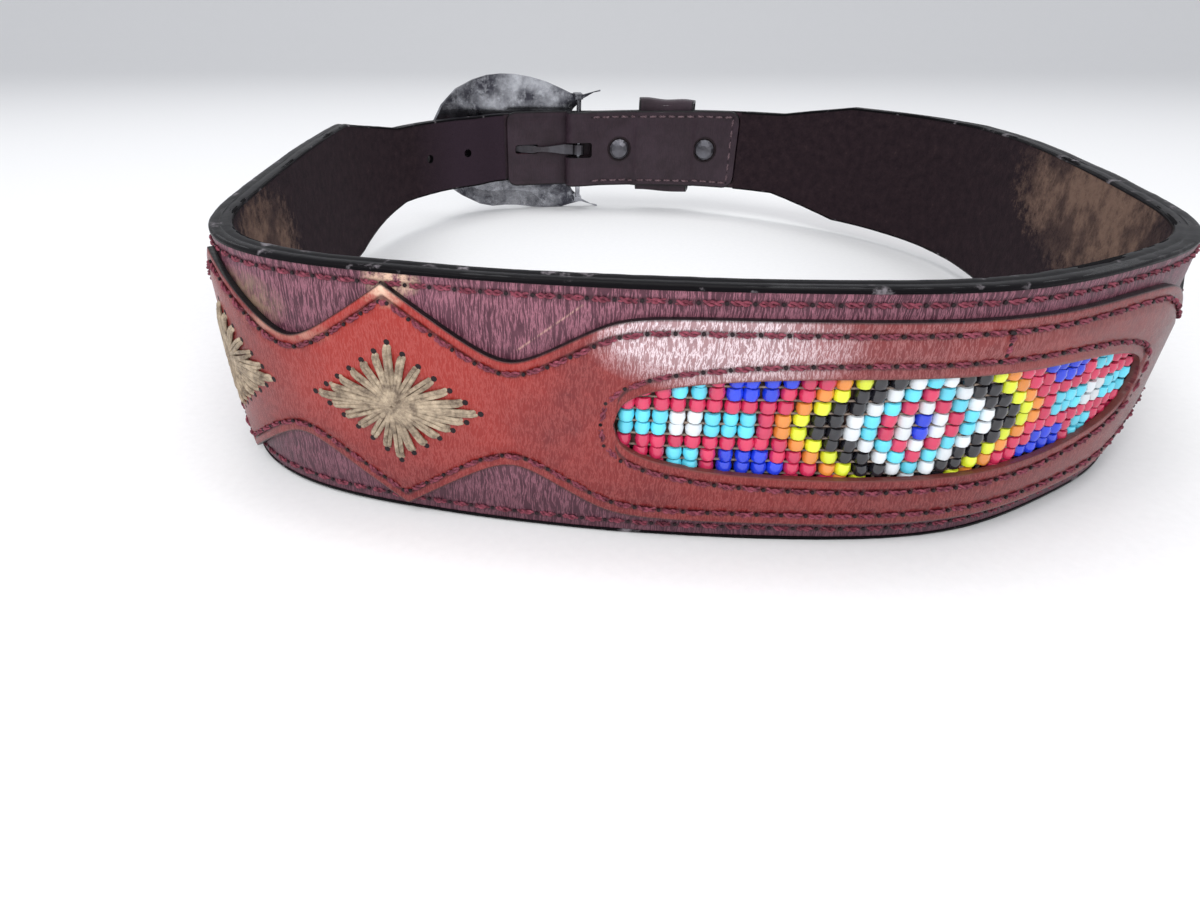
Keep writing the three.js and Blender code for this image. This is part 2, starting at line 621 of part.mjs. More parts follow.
// The buckle: a domed plate with two horns, and a bar carried behind it on two arms
function buckle() {
  const bulgeAt = (share) => (height) => {
    const side = 2 * share - 1;
    const up = (height - PLATE_CENTRE) / PLATE_HALF_HEIGHT;
    return PLATE_DOME * Math.max(0, 1 - side * side - up * up);
  };
  const plateFrom = BAR_ALONG - PLATE_BEHIND_BAR;
  const stations = PLATE_EDGES.map(({ share, top, bottom }) => ({
    outer: [plateFrom + share * PLATE_LENGTH, PLATE_OUT + PLATE_THICKNESS],
    inner: [plateFrom + share * PLATE_LENGTH, PLATE_OUT],
    rows: PLATE_ROWS.map((row) => PLATE_CENTRE + PLATE_HALF_HEIGHT * THREE.MathUtils.lerp(bottom, top, row)),
    bulge: bulgeAt(share),
  }));
  const cut = new THREE.CylinderGeometry(1, 1, 4 * PLATE_THICKNESS, 24);
  cut.scale(HORN_CUT.halfLength, 1, HORN_CUT.halfHeight);
  cut.applyMatrix4(frameAt(BAR_ALONG + HORN_CUT.past, PLATE_OUT, HORN_CUT.height));
  let solid = strip(stations).subtract(toSolid(cut));

  const bar = new THREE.CylinderGeometry(BAR_RADIUS, BAR_RADIUS, 2 * BAR_HALF_LENGTH, 12);
  bar.rotateX(Math.PI / 2);
  solid = solid.add(toSolid(bar.applyMatrix4(frameAt(BAR_ALONG, BAR_OUT, STRAP_END_MIDDLE))));
  const armFrom = BAR_OUT - BAR_RADIUS;
  const armTo = PLATE_OUT + PLATE_THICKNESS / 2;
  for (const side of [-1, 1]) {
    const arm = new THREE.BoxGeometry(ARM_WIDTH, armTo - armFrom, ARM_HEIGHT);
    const height = STRAP_END_MIDDLE + side * (BAR_HALF_LENGTH - ARM_HEIGHT / 2);
    solid = solid.add(toSolid(arm.applyMatrix4(frameAt(BAR_ALONG, (armFrom + armTo) / 2, height))));
  }
  return solid;
}

// The prong: a ring round the bar and a shank through the guard's slot and the billet's hole
function prong() {
  const ring = new THREE.Shape().absarc(0, 0, PRONG_RING_RADIUS, 0, 2 * Math.PI);
  ring.holes.push(new THREE.Path().absarc(0, 0, BAR_RADIUS + GAP, 0, 2 * Math.PI, true));
  const settings = { depth: PRONG_WIDTH, bevelEnabled: false, curveSegments: 8 };
  const geometry = new THREE.ExtrudeGeometry(ring, settings);
  geometry.translate(0, 0, -PRONG_WIDTH / 2);
  const eye = toSolid(geometry.applyMatrix4(frameAt(BAR_ALONG, BAR_OUT, STRAP_END_MIDDLE)));
  const stations = PRONG_SHAPE.map(({ share, out, width, thickness }) => {
    const along = BAR_ALONG + share * PRONG_LENGTH;
    const centre = THREE.MathUtils.lerp(BAR_OUT, PLATE_OUT, out);
    const thick = (thickness * PRONG_THICKNESS) / 2;
    const wide = (width * PRONG_WIDTH) / 2;
    return {
      outer: [along, centre + thick],
      inner: [along, centre - thick],
      rows: [STRAP_END_MIDDLE - wide, STRAP_END_MIDDLE + wide],
    };
  });
  return eye.add(strip(stations));
}

// The guard: a leather tab between the prong and the billet, with a slot for the prong
function guard() {
  const inner = FOLD_SPREAD + GAP;
  const outer = inner + GUARD_THICKNESS;
  const from = BAR_ALONG - 7.5;
  const to = BAR_ALONG + GUARD_LENGTH;
  const places = [...evenPlaces(from, to - 3, STRAP_STEP), to - 1.2, to];
  const stations = places.map((along) => {
    const reach = roundedHalf(strapEdges(BAR_ALONG).half, to - along, 5, 4);
    return {
      outer: [along, outer],
      inner: [along, inner],
      rows: [STRAP_END_MIDDLE - reach, STRAP_END_MIDDLE + reach],
    };
  });
  const slot = slotCutter(SLOT_FROM, SLOT_TO, STRAP_END_MIDDLE, SLOT_HEIGHT, inner - 1, outer + 1);
  return strip(stations).subtract(slot);
}

const MATERIALS = {
  base_leather: { color: 0x4a2530, roughness: 0.5, metalness: 0 },
  overlay_leather: { color: 0x6e2a26, roughness: 0.45, metalness: 0 },
  lining_suede: { color: 0x2f2628, roughness: 0.9, metalness: 0 },
  beads: { color: 0xc43a60, roughness: 0.2, metalness: 0 },
  star_thread: { color: 0xa89888, roughness: 0.8, metalness: 0 },
  buckle_metal: { color: 0x9a9ca0, roughness: 0.35, metalness: 1 },
};

function mesh(name, solid, material) {
  const made = new THREE.Mesh(toGeometry(solid), new THREE.MeshStandardMaterial(MATERIALS[material]));
  made.name = name;
  return made;
}

const belt = new THREE.Group();
belt.add(
  mesh("base_strap", baseStrap(), "base_leather"),
  mesh("lining", lining(), "lining_suede"),
  mesh("overlay", overlay(), "overlay_leather"),
  mesh("bead_panel", beadPanel(), "beads"),
  mesh("keeper", keeper(), "base_leather"),
  mesh("buckle", buckle(), "buckle_metal"),
  mesh("prong", prong(), "buckle_metal"),
  mesh("prong_guard", guard(), "base_leather"),
);
SNAP_PLACES.forEach((along, i) => belt.add(mesh(`snap_${i + 1}`, snap(along), "buckle_metal")));
for (const [side, sign] of [["left", -1], ["right", 1]])
  for (let i = 0; i < DIAMONDS_A_SIDE; i++) {
    const centre = sign * (FIRST_NECK + (i + 0.5) * DIAMOND_PITCH);
    belt.add(mesh(`star_${side}_${i + 1}`, star(centre), "star_thread"));
  }

// The belt leans back until the front of its lower edge and the foot of the buckle both touch the floor
const plateFoot = PLATE_CENTRE + PLATE_HALF_HEIGHT * Math.min(...PLATE_EDGES.map(({ bottom }) => bottom));
const frontY = Math.min(...LOOP.map(({ y }) => y));
const footY = place([BAR_ALONG + PLATE_BEHIND_BAR, PLATE_OUT], 0)[1];
belt.rotation.x = Math.atan2(-plateFoot, footY - frontY);

const part = new THREE.Group();
part.add(belt);
part.updateMatrixWorld(true);
const bounds = new THREE.Box3().setFromObject(part, true);
const centre = bounds.getCenter(new THREE.Vector3());
part.position.set(-centre.x, -centre.y, -bounds.min.z);

export default part;
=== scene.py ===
import math
import bmesh
import bpy
import numpy as np
from mathutils import Matrix, Vector


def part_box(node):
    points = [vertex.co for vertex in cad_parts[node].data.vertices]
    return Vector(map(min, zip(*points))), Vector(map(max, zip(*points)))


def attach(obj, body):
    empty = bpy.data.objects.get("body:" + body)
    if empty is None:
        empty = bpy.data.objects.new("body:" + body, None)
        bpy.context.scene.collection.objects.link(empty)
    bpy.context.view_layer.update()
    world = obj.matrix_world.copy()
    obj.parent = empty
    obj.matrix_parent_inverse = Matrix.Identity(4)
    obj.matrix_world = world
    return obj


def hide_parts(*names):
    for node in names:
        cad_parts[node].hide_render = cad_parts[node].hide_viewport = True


bl_info = {
    "name": "Beaded Leather Belt",
    "version": (1, 0, 0),
    "blender": (4, 5, 0),
    "location": "View3D > Sidebar > Belt",
    "description": "Dresses a fastened western belt: leather, beadwork, stitching and buckle",
    "category": "Object",
}

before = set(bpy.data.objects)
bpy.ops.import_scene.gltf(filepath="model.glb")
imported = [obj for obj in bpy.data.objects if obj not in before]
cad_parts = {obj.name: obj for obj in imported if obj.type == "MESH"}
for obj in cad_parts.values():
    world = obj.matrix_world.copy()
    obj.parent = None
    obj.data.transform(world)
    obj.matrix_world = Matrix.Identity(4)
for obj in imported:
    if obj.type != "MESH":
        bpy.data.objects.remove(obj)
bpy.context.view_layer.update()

# The belt is laid out flat in millimetres: along from the middle of the bead panel, height over the lower
# edge, and out from the base strap's outer face (depth is inwards from a piece's own face). round_loop()
# bends it round the waist. FLAT_UNIT is how much of it one unit of the UV map "Flat" covers.
MM = 0.001
LOOP_LENGTH = 900.0
PANEL_SHARE = 0.0567
FRONT_HEADING = math.radians(-6.55)
LOOP_STEPS = 900
FLAT_UNIT = 100.0
BELT_WIDTH = 51.0
MIDDLE = BELT_WIDTH / 2
BASE = 2.3
LINING = 2.1
OVERLAY = 1.6
GAP = 0.3

# How far the strap turns at each share of the loop, where 1 is a round loop
BEND_SHARES = (0, 0.035, 0.07, 0.1, 0.135, 0.18, 0.25, 0.32, 0.4)
BENDS = (0.51, 0.26, 2.25, 0.28, 2.94, 0.09, 0.27, 1.6, 0.7)
BEND_SHARES += (0.48, 0.55, 0.62, 0.68, 0.76, 0.86, 0.905, 0.95, 1)
BENDS += (1.39, 0.39, 2.13, 1.17, 0.15, 0.06, 4.02, 0.4, 0.51)

# Strap shape: half its width and the height of its middle at each share of the loop
SHAPE_SHARES = (-0.389, -0.328, 0.327, 0.366, 0.491)
SHAPE_HALVES = (17.0, 25.5, 25.5, 19.0, 19.0)
SHAPE_MIDDLES = (25.5, 25.5, 25.5, 26.5, 24.3)
END_MIDDLE = SHAPE_MIDDLES[-1]
END_HALF = SHAPE_HALVES[-1]

# Buckle end, measured past the bar
BAR = 0.4876 * LOOP_LENGTH
BAR_OUT = -(BASE + GAP / 2)
FOLD_LENGTH = 3.0
FOLD_SPREAD = 1.4
FOLD_SPREADS = (-13.8, -1.8)
FLAP_LENGTH = 87.0
BILLET_OVERLAP = 79.0
BILLET_RISE = 6.1
BILLET_REST = 4.0
BILLET_UP = (41.2, 61.2)
BILLET_DOWN = (-23.8, -8.8)
GUARD_LENGTH = 38.0
GUARD_THICKNESS = 1.8
GUARD_OUT = 3.5
SLOT = (21.0, 34.0)
SLOT_HEIGHT = 4.7
SLOT_DEPTH = 4.0
PRONG_SLOT_HEIGHT = 7.6
PRONG_SLOT_LENGTH = 15.0
PRONG_SLOT_DEPTH = 11.2
HOLES = (63.4, 88.8)
HOLE_RADIUS = 2.0
SNAPS = (-22.4, -69.8)
# A dark ring of painted shadow round each snap: its radius and the radius of its wire
SNAP_SHADOW_RADIUS = 5.75
SNAP_SHADOW_WIRE = 0.55
KEEPER = (-61.2, -32.6)
KEEPER_THICKNESS = 1.4
KEEPER_HEIGHT = 46.0
KEEPER_EASE = 3.5
PLATE_NEAR = 12.3
PLATE_OUT = 6.6

# Overlay and window
PANEL_HALF_LENGTH = 56.0
PANEL_HALF_HEIGHT = 0.402 * BELT_WIDTH
NECK_HALF_HEIGHT = 0.212 * BELT_WIDTH
DIAMOND_PITCH = 44.0
FIRST_NECK = PANEL_HALF_LENGTH + 17
LAST_NECK = FIRST_NECK + 2 * DIAMOND_PITCH
OVERLAY_END = LAST_NECK + 11
WINDOW_HALF_LENGTH = PANEL_HALF_LENGTH - 2
WINDOW_HALF_HEIGHT = 0.202 * BELT_WIDTH
UNDERCUT = 1.3

# Thread stars
STAR_CENTRES = (-139.0, -95.0, 95.0, 139.0)
STAR_HALF_LENGTH = 17.0
STAR_HALF_HEIGHT = 12.8
STAR_RAYS = 24

# Seams: how far each runs inside an edge, or outside the window, and its pitch where it has its own
STRAP_SEAM = 2.8
OVERLAY_SEAM = 2.35
WINDOW_SEAM = 2.6
FLAP_SEAM = 3.3
FLAP_PITCH = 5
SHORT_SEAM_ALONG = 9.5
SHORT_SEAM_PITCH = 2.2

# Beads: columns and rows each side of the middle of the panel, and how far beads and threads reach
BEAD_COLUMNS = 17
BEAD_ROWS = 4
BEAD_PITCH = 3.08
BEAD_ROW_PITCH = 2.52
BEAD_OUT = -0.9
BEAD_WIDTH = 3.04
BEAD_RING = 0.95
BEAD_WALL = 0.57
BEAD_HALF_WIDTH = 1.2
BEAD_ROOM = ((0, 30, 46, 52, 54.5), (11.4, 11.3, 10.2, 8.3, 3.5))
WARP_OUT = -0.62
WARP_ROOM = ((0, 7, 10.5, 12), (54, 53, 47, 38))
WEFT_ROOM = ((0, 30, 46, 52, 54.5), (12, 12, 10.5, 8.5, 3))


def loop_plan():
    """The outer face of the base strap from above, anticlockwise, closed by sharing out the last gap."""
    step = LOOP_LENGTH / LOOP_STEPS
    shares = (np.arange(LOOP_STEPS) + 0.5) / LOOP_STEPS
    bends = np.interp(shares, BEND_SHARES, BENDS)
    turns = bends * 2 * math.pi / bends.sum()
    headings = FRONT_HEADING + np.cumsum(turns) - turns / 2
    points = np.zeros((LOOP_STEPS + 1, 2))
    points[1:, 0] = np.cumsum(step * np.cos(headings))
    points[1:, 1] = np.cumsum(step * np.sin(headings))
    points -= points[-1] * (np.arange(LOOP_STEPS + 1) / LOOP_STEPS)[:, None]
    return points[:-1]


LOOP = loop_plan()
LOOP_TRAVEL = np.roll(LOOP, -1, axis=0) - np.roll(LOOP, 1, axis=0)


def on_plan(along, out):
    """Plan points before the belt is leaned back, for arrays of along and out."""
    share = np.mod(along / LOOP_LENGTH + PANEL_SHARE, 1.0) * LOOP_STEPS
    index = np.floor(share).astype(int) % LOOP_STEPS
    after = (index + 1) % LOOP_STEPS
    part = (share - np.floor(share))[..., None]
    point = LOOP[index] * (1 - part) + LOOP[after] * part
    travel = LOOP_TRAVEL[index] * (1 - part) + LOOP_TRAVEL[after] * part
    travel /= np.linalg.norm(travel, axis=-1, keepdims=True)
    outward = np.stack([travel[..., 1], -travel[..., 0]], axis=-1)
    return point + outward * np.asarray(out)[..., None]


# The belt leans back until its front edge and the foot of the buckle touch the floor
PLATE_FOOT = -8.395
FOOT_Y = on_plan(np.array([BAR + PLATE_NEAR]), np.array([PLATE_OUT]))[0, 1]
REST_TILT = math.atan2(-PLATE_FOOT, FOOT_Y - LOOP[:, 1].min())


def lean(points):
    """Turns belt coordinates (x, y, height) by the lean, still in millimetres."""
    y = points[..., 1] * math.cos(REST_TILT) - points[..., 2] * math.sin(REST_TILT)
    z = points[..., 1] * math.sin(REST_TILT) + points[..., 2] * math.cos(REST_TILT)
    return np.stack([points[..., 0], y, z], axis=-1)


def frame_shift():
    """Moves the leaned belt onto the frame, by the base strap's left, front and lowest points."""
    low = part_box("base_strap")[0]
    front = lean(np.array([0.0, LOOP[:, 1].min(), BELT_WIDTH]))
    foot = lean(np.array([0.0, LOOP[:, 1].min(), 0.0]))
    return np.array(low) - np.array([LOOP[:, 0].min(), front[1], foot[2]]) * MM


SHIFT = frame_shift()


def round_loop(along, height, out):
    """Row-frame points in metres for flat places in millimetres."""
    plan = on_plan(np.asarray(along, float), np.asarray(out, float))
    flat = np.concatenate([plan, np.asarray(height, float)[..., None]], axis=-1)
    return lean(flat) * MM + SHIFT


def smoothstep(value, low, high):
    t = np.clip((value - low) / (high - low), 0, 1)
    return t * t * (3 - 2 * t)


def strap_rise(along):
    """How far the base strap's outer face leaves the loop, over the bar and where the billet laps."""
    past = along + LOOP_LENGTH - BAR
    over_bar = FOLD_SPREAD * smoothstep(along - BAR, *FOLD_SPREADS)
    up = BILLET_RISE * (1 - smoothstep(past, *BILLET_UP))
    down = (BILLET_RISE - BILLET_REST) * (1 - smoothstep(past, *BILLET_DOWN))
    return np.where(along > 0, over_bar, up - down)


def strap_edges(along):
    share = along / LOOP_LENGTH
    return np.interp(share, SHAPE_SHARES, SHAPE_HALVES), np.interp(share, SHAPE_SHARES, SHAPE_MIDDLES)


def rounded_half(half, distance, length, cut):
    share = np.clip(1 - distance / length, 0, 1)
    return half - cut * (1 - np.sqrt(1 - share * share))


FOLD_ALONG = BAR + FOLD_LENGTH
FOLD_RADIUS = FOLD_SPREAD + GAP / 2 + BASE
FOLD_ARC = math.pi * (FOLD_RADIUS - BASE / 2)
FLAP_END = BAR - FLAP_LENGTH
BILLET_TIP = BAR - BILLET_OVERLAP - LOOP_LENGTH
STRAP_END = 2 * FOLD_ALONG + FOLD_ARC - FLAP_END


def keeper_room(along):
    """How far the flap stands off to let the keeper's inner leg through."""
    before = smoothstep(along - BAR, KEEPER[0] - KEEPER_EASE, KEEPER[0] - GAP)
    after = smoothstep(along - BAR, KEEPER[1] + GAP, KEEPER[1] + KEEPER_EASE)
    return (KEEPER_THICKNESS + GAP) * (before - after)


def base_path(run, depth):
    """(along, out) of the base strap at a run from the billet's tip, over the bar and back along the flap."""
    turned = np.clip((run - FOLD_ALONG) / FOLD_ARC, 0, 1) * math.pi
    radius = FOLD_RADIUS - depth
    back = 2 * FOLD_ALONG + FOLD_ARC - run
    fold = (run > FOLD_ALONG) & (run < FOLD_ALONG + FOLD_ARC)
    flap = run >= FOLD_ALONG + FOLD_ARC
    along = np.where(fold, FOLD_ALONG + radius * np.sin(turned), np.where(flap, back, run))
    lap = -strap_rise(np.where(flap, back, 1.0)) - 2 * BASE - GAP - keeper_room(back) + depth
    bend = BAR_OUT + radius * np.cos(turned)
    out = np.where(fold, bend, np.where(flap, lap, strap_rise(run) - depth))
    return along, out


def base_outline(run):
    """Lower and upper edge of the base strap, and of its window, at each run."""
    back = 2 * FOLD_ALONG + FOLD_ARC - run
    along = np.where(run > FOLD_ALONG, np.minimum(back, FOLD_ALONG), run)
    half, middle = strap_edges(along)
    half = rounded_half(half, run - BILLET_TIP, 16, 0.75 * half)
    half = rounded_half(half, STRAP_END - run, 6, 5)
    opening = window_half(run, UNDERCUT)
    return middle - half, middle + half, middle - opening, middle + opening


def window_half(along, grown):
    share = np.clip(np.abs(along) / (WINDOW_HALF_LENGTH + grown), 0, 1)
    return (WINDOW_HALF_HEIGHT + grown) * (1 - share**3) ** (1 / 3)


def overlay_half(along):
    """Half the overlay's height: the panel, then diamonds with pointed tops between rounded necks."""
    distance = np.abs(along)
    from_first = distance - FIRST_NECK
    nearest = np.clip(np.round(from_first / DIAMOND_PITCH), 0, 2)
    from_neck = np.abs(from_first - nearest * DIAMOND_PITCH)
    half = NECK_HALF_HEIGHT + 0.712 * (np.hypot(from_neck, 5) - 5)
    over = half - PANEL_HALF_HEIGHT
    panel = np.minimum(half, PANEL_HALF_HEIGHT) - 1.5 * np.exp(-np.abs(over) / 3)
    tail = rounded_half(NECK_HALF_HEIGHT, OVERLAY_END - distance, 8, 7)
    return np.where(distance > LAST_NECK, tail, np.where(distance > FIRST_NECK, half, panel))


def overlay_outline(run):
    half = overlay_half(run)
    opening = window_half(run, 0)
    return MIDDLE - half, MIDDLE + half, MIDDLE - opening, MIDDLE + opening


def columns(low, high, step, finer=()):
    """Even places, with a smaller step inside each finer (from, to, step) stretch."""
    places = [low, high]
    here = low
    while here < high:
        size = min([step] + [small for start, stop, small in finer if start - 1e-6 <= here < stop])
        here += size
        if here < high - 0.4 * size:
            places.append(here)
    return np.unique(np.round(places, 5))


def deselect_all():
    if bpy.context.object and bpy.context.object.mode != "OBJECT":
        bpy.ops.object.mode_set(mode="OBJECT")
    bpy.ops.object.select_all(action="DESELECT")


def apply_modifier(piece, kind, **settings):
    bpy.context.view_layer.objects.active = piece
    modifier = piece.modifiers.new(kind.title(), kind)
    for key, value in settings.items():
        setattr(modifier, key, value)
    bpy.ops.object.modifier_apply(modifier=modifier.name)


def round_corners(piece, width, segments):
    angle = math.radians(50)
    apply_modifier(piece, "BEVEL", width=width, segments=segments, limit_method="ANGLE", angle_limit=angle)


def coordinates(mesh):
    found = np.empty(len(mesh.vertices) * 3)
    mesh.vertices.foreach_get("co", found)
    return found.reshape(-1, 3)


def move_points(mesh, points):
    mesh.vertices.foreach_set("co", np.asarray(points, float).ravel())
    mesh.update()


def paint_flat_map(piece, flat_along, flat_height, scale=FLAT_UNIT):
    """A UV map of the flat strap, one unit for each FLAT_UNIT."""
    mesh = piece.data
    while mesh.uv_layers:
        mesh.uv_layers.remove(mesh.uv_layers[0])
    layer = mesh.uv_layers.new(name="Flat")
    corner = np.empty(len(mesh.loops), dtype=int)
    mesh.loops.foreach_get("vertex_index", corner)
    pairs = np.stack([flat_along[corner], flat_height[corner]], axis=-1) / scale
    layer.uv.foreach_set("vector", pairs.ravel())


def store(piece, name, values):
    attribute = piece.data.attributes.new(name, "FLOAT", "POINT")
    attribute.data.foreach_set("value", np.asarray(values, np.float32))


def half_rows(insets, steps, lip):
    """Row places over half a strap: insets from its edge, even shares, then a lip at the window."""
    rows = [("edge", inset) for inset in insets]
    rows += [("share", k / (steps + 1)) for k in range(1, steps + 1)]
    return rows + [("lip", inset) for inset in lip]


def row_height(kind, value, edge, inner, sign):
    """Height of one row between the strap's edge and its window or middle line."""
    space = np.abs(inner - edge)
    fit = np.minimum(1, space / 9)
    first = edge + sign * EDGE_INSETS[-1] * fit
    last = inner - sign * LIP_INSETS[0] * fit
    if kind == "edge":
        return edge + sign * value * fit
    if kind == "share":
        return first + (last - first) * value
    return inner - sign * value * fit


EDGE_INSETS = (0, 0.7, 1.5, 2.3, 3.0, 4.2)
LIP_INSETS = (2.0, 0.8, 0)


def leather_band(name, places, outline, path, thickness, seam_depth=0.25, round_edge=0.5, seam=2.6):
    """A leather strap: a flat grid given its outline, its window cut, its thickness and round edges,
    and then bent along its path round the loop."""
    rows = half_rows(EDGE_INSETS, 4, LIP_INSETS)
    count = 2 * len(rows)
    deselect_all()
    bpy.ops.mesh.primitive_grid_add(x_subdivisions=len(places) - 1, y_subdivisions=count - 1, size=1)
    piece = bpy.context.object
    piece.name = name
    mesh = piece.data
    grid = coordinates(mesh)
    column = np.round((grid[:, 0] + 0.5) * (len(places) - 1)).astype(int)
    row = np.round((grid[:, 1] + 0.5) * (count - 1)).astype(int)
    low, high, window_low, window_high = outline(places)
    heights = np.empty((count, len(places)))
    for i, (kind, value) in enumerate(rows):
        heights[i] = row_height(kind, value, low, window_low, 1)
        heights[count - 1 - i] = row_height(kind, value, high, window_high, -1)
    move_points(mesh, np.stack([places[column], heights[row, column], np.zeros(len(column))], axis=-1))

    bpy.ops.object.mode_set(mode="EDIT")
    bpy.ops.mesh.select_mode(type="FACE")
    bpy.ops.mesh.select_all(action="DESELECT")
    bpy.ops.object.mode_set(mode="OBJECT")
    inner_row = len(rows) - 1
    for face in mesh.polygons:
        face.select = {row[v] for v in face.vertices} == {inner_row, inner_row + 1}
    bpy.ops.object.mode_set(mode="EDIT")
    bpy.ops.mesh.delete(type="ONLY_FACE")
    bpy.ops.mesh.select_all(action="SELECT")
    bpy.ops.mesh.remove_doubles(threshold=0.001)
    bpy.ops.mesh.delete_loose()
    bpy.ops.object.mode_set(mode="OBJECT")
    apply_modifier(piece, "SOLIDIFY", thickness=thickness, offset=-1)
    round_corners(piece, round_edge, 3)

    flat = coordinates(mesh)
    along, height, depth = flat[:, 0], flat[:, 1], -flat[:, 2]
    low, high, window_low, window_high = outline(along)
    edge = np.minimum(height - low, high - height)
    opened = window_high - window_low > 0.01
    to_window = np.where(height > MIDDLE, height - window_high, window_low - height)
    edge = np.where(opened, np.minimum(edge, to_window), edge)
    top = depth < 0.5 * thickness
    groove = seam_depth * np.exp(-(((edge - seam) / 0.8) ** 2)) * top
    slump = 0.35 * np.exp(-edge / 0.9) * top
    run_along, out = path(along, depth + groove + slump)
    store(piece, "edge", edge)
    store(piece, "depth", depth)
    paint_flat_map(piece, along, height)
    move_points(mesh, round_loop(run_along, height, out))
    bpy.ops.object.shade_smooth_by_angle(angle=math.radians(45))
    return piece


def sweep(rings):
    """The points and faces of a closed tube through rings shaped (rings, points, 3), in metres."""
    rings = np.asarray(rings, float)
    count, around = rings.shape[:2]
    index = np.arange(count * around).reshape(count, around)
    after = np.roll(index, -1, axis=1)
    sides = np.stack([index[:-1], after[:-1], after[1:], index[1:]], axis=-1).reshape(-1, 4)
    return rings.reshape(-1, 3), sides.tolist() + [index[0][::-1].tolist(), index[-1].tolist()]


def new_piece(name, points, faces):
    mesh = bpy.data.meshes.new(name)
    mesh.from_pydata(np.asarray(points).tolist(), [], faces)
    mesh.update()
    piece = bpy.data.objects.new(name, mesh)
    bpy.context.scene.collection.objects.link(piece)
    return piece


def outward_normals(piece):
    work = bmesh.new()
    work.from_mesh(piece.data)
    bmesh.ops.recalc_face_normals(work, faces=work.faces)
    work.to_mesh(piece.data)
    work.free()


def smooth(piece, degrees=40):
    deselect_all()
    piece.select_set(True)
    bpy.context.view_layer.objects.active = piece
    bpy.ops.object.shade_smooth_by_angle(angle=math.radians(degrees))


class MeshPile:
    """Gathers many small shapes into one mesh, with a value for each point."""

    def __init__(self):
        self.points = []
        self.faces = []
        self.values = []
        self.total = 0

    def add(self, points, faces, value=None):
        points = np.asarray(points, float)
        self.points.append(points)
        self.faces += [[corner + self.total for corner in face] for face in faces]
        self.total += len(points)
        if value is not None:
            self.values.append(np.tile(value, (len(points), 1)))

    def tube(self, centre, radius, sides=6, flatten=1.0):
        """A thread along a flat line of (along, height, out), bent round the loop."""
        rings = flat_tube(centre, radius, sides, flatten)
        self.add(*sweep(round_loop(*np.moveaxis(rings, -1, 0))))

    def piece(self, name):
        made = new_piece(name, np.concatenate(self.points), self.faces)
        outward_normals(made)
        smooth(made)
        return made


def flat_tube(centre, radius, sides, flatten):
    """Rings round a flat path of (along, height, out) points, for a thread that lies on the strap."""
    centre = np.asarray(centre, float)
    travel = np.gradient(centre, axis=0)
    travel /= np.linalg.norm(travel, axis=1, keepdims=True) + 1e-9
    up = np.array([0.0, 0.0, 1.0])
    side = np.cross(travel, up)
    side /= np.linalg.norm(side, axis=1, keepdims=True) + 1e-9
    lift = np.cross(side, travel)
    angles = np.arange(sides) * 2 * math.pi / sides
    radii = np.broadcast_to(np.asarray(radius, float), (len(centre),))[:, None, None]
    cosines, sines = np.cos(angles)[None, :, None], np.sin(angles)[None, :, None]
    return centre[:, None] + (side[:, None] * cosines + flatten * lift[:, None] * sines) * radii


def twisted_stitch(pile, start, stop, out, thickness=0.42, turns=1.2, phase=0.0, arch=0.55, side_of=1):
    """Two strands twisted round each other from one hole to the next, sunk at both ends."""
    steps = 9
    t = np.linspace(0, 1, steps)
    line = np.stack([start[0] + (stop[0] - start[0]) * t, start[1] + (stop[1] - start[1]) * t], axis=-1)
    direction = np.array([stop[0] - start[0], stop[1] - start[1]])
    direction /= np.linalg.norm(direction)
    side = np.array([-direction[1], direction[0]])
    lift = out + side_of * (arch * np.sin(math.pi * t) ** 0.5 - 0.45)
    for strand in (0, math.pi):
        angle = strand + phase + 2 * math.pi * turns * t
        sway = 0.3 * np.cos(angle)
        rise = 0.22 * np.sin(angle)
        centre = np.column_stack([line + side * sway[:, None], lift + rise])
        pile.tube(centre, thickness * (0.75 + 0.25 * np.sin(math.pi * t)))


def srgb(red, green, blue):
    """A linear colour from the 0 to 255 values that a picture shows."""
    def channel(value):
        value /= 255
        return value / 12.92 if value <= 0.04045 else ((value + 0.055) / 1.055) ** 2.4
    return (channel(red), channel(green), channel(blue), 1.0)


class Value:
    """One output of a shader node, which sums, products and differences take like a number."""

    def __init__(self, nodes, socket):
        self.nodes = nodes
        self.socket = socket

    def __add__(self, other):
        return self.nodes.maths("ADD", self, other)

    def __sub__(self, other):
        return self.nodes.maths("SUBTRACT", self, other)

    def __rsub__(self, other):
        return self.nodes.maths("SUBTRACT", other, self)

    def __mul__(self, other):
        return self.nodes.maths("MULTIPLY", self, other)

    def __truediv__(self, other):
        return self.nodes.maths("DIVIDE", self, other)

    def __abs__(self):
        return self.nodes.maths("ABSOLUTE", self)

    def clamped(self):
        """Holds the last sum or product between 0 and 1."""
        self.socket.node.use_clamp = True
        return self


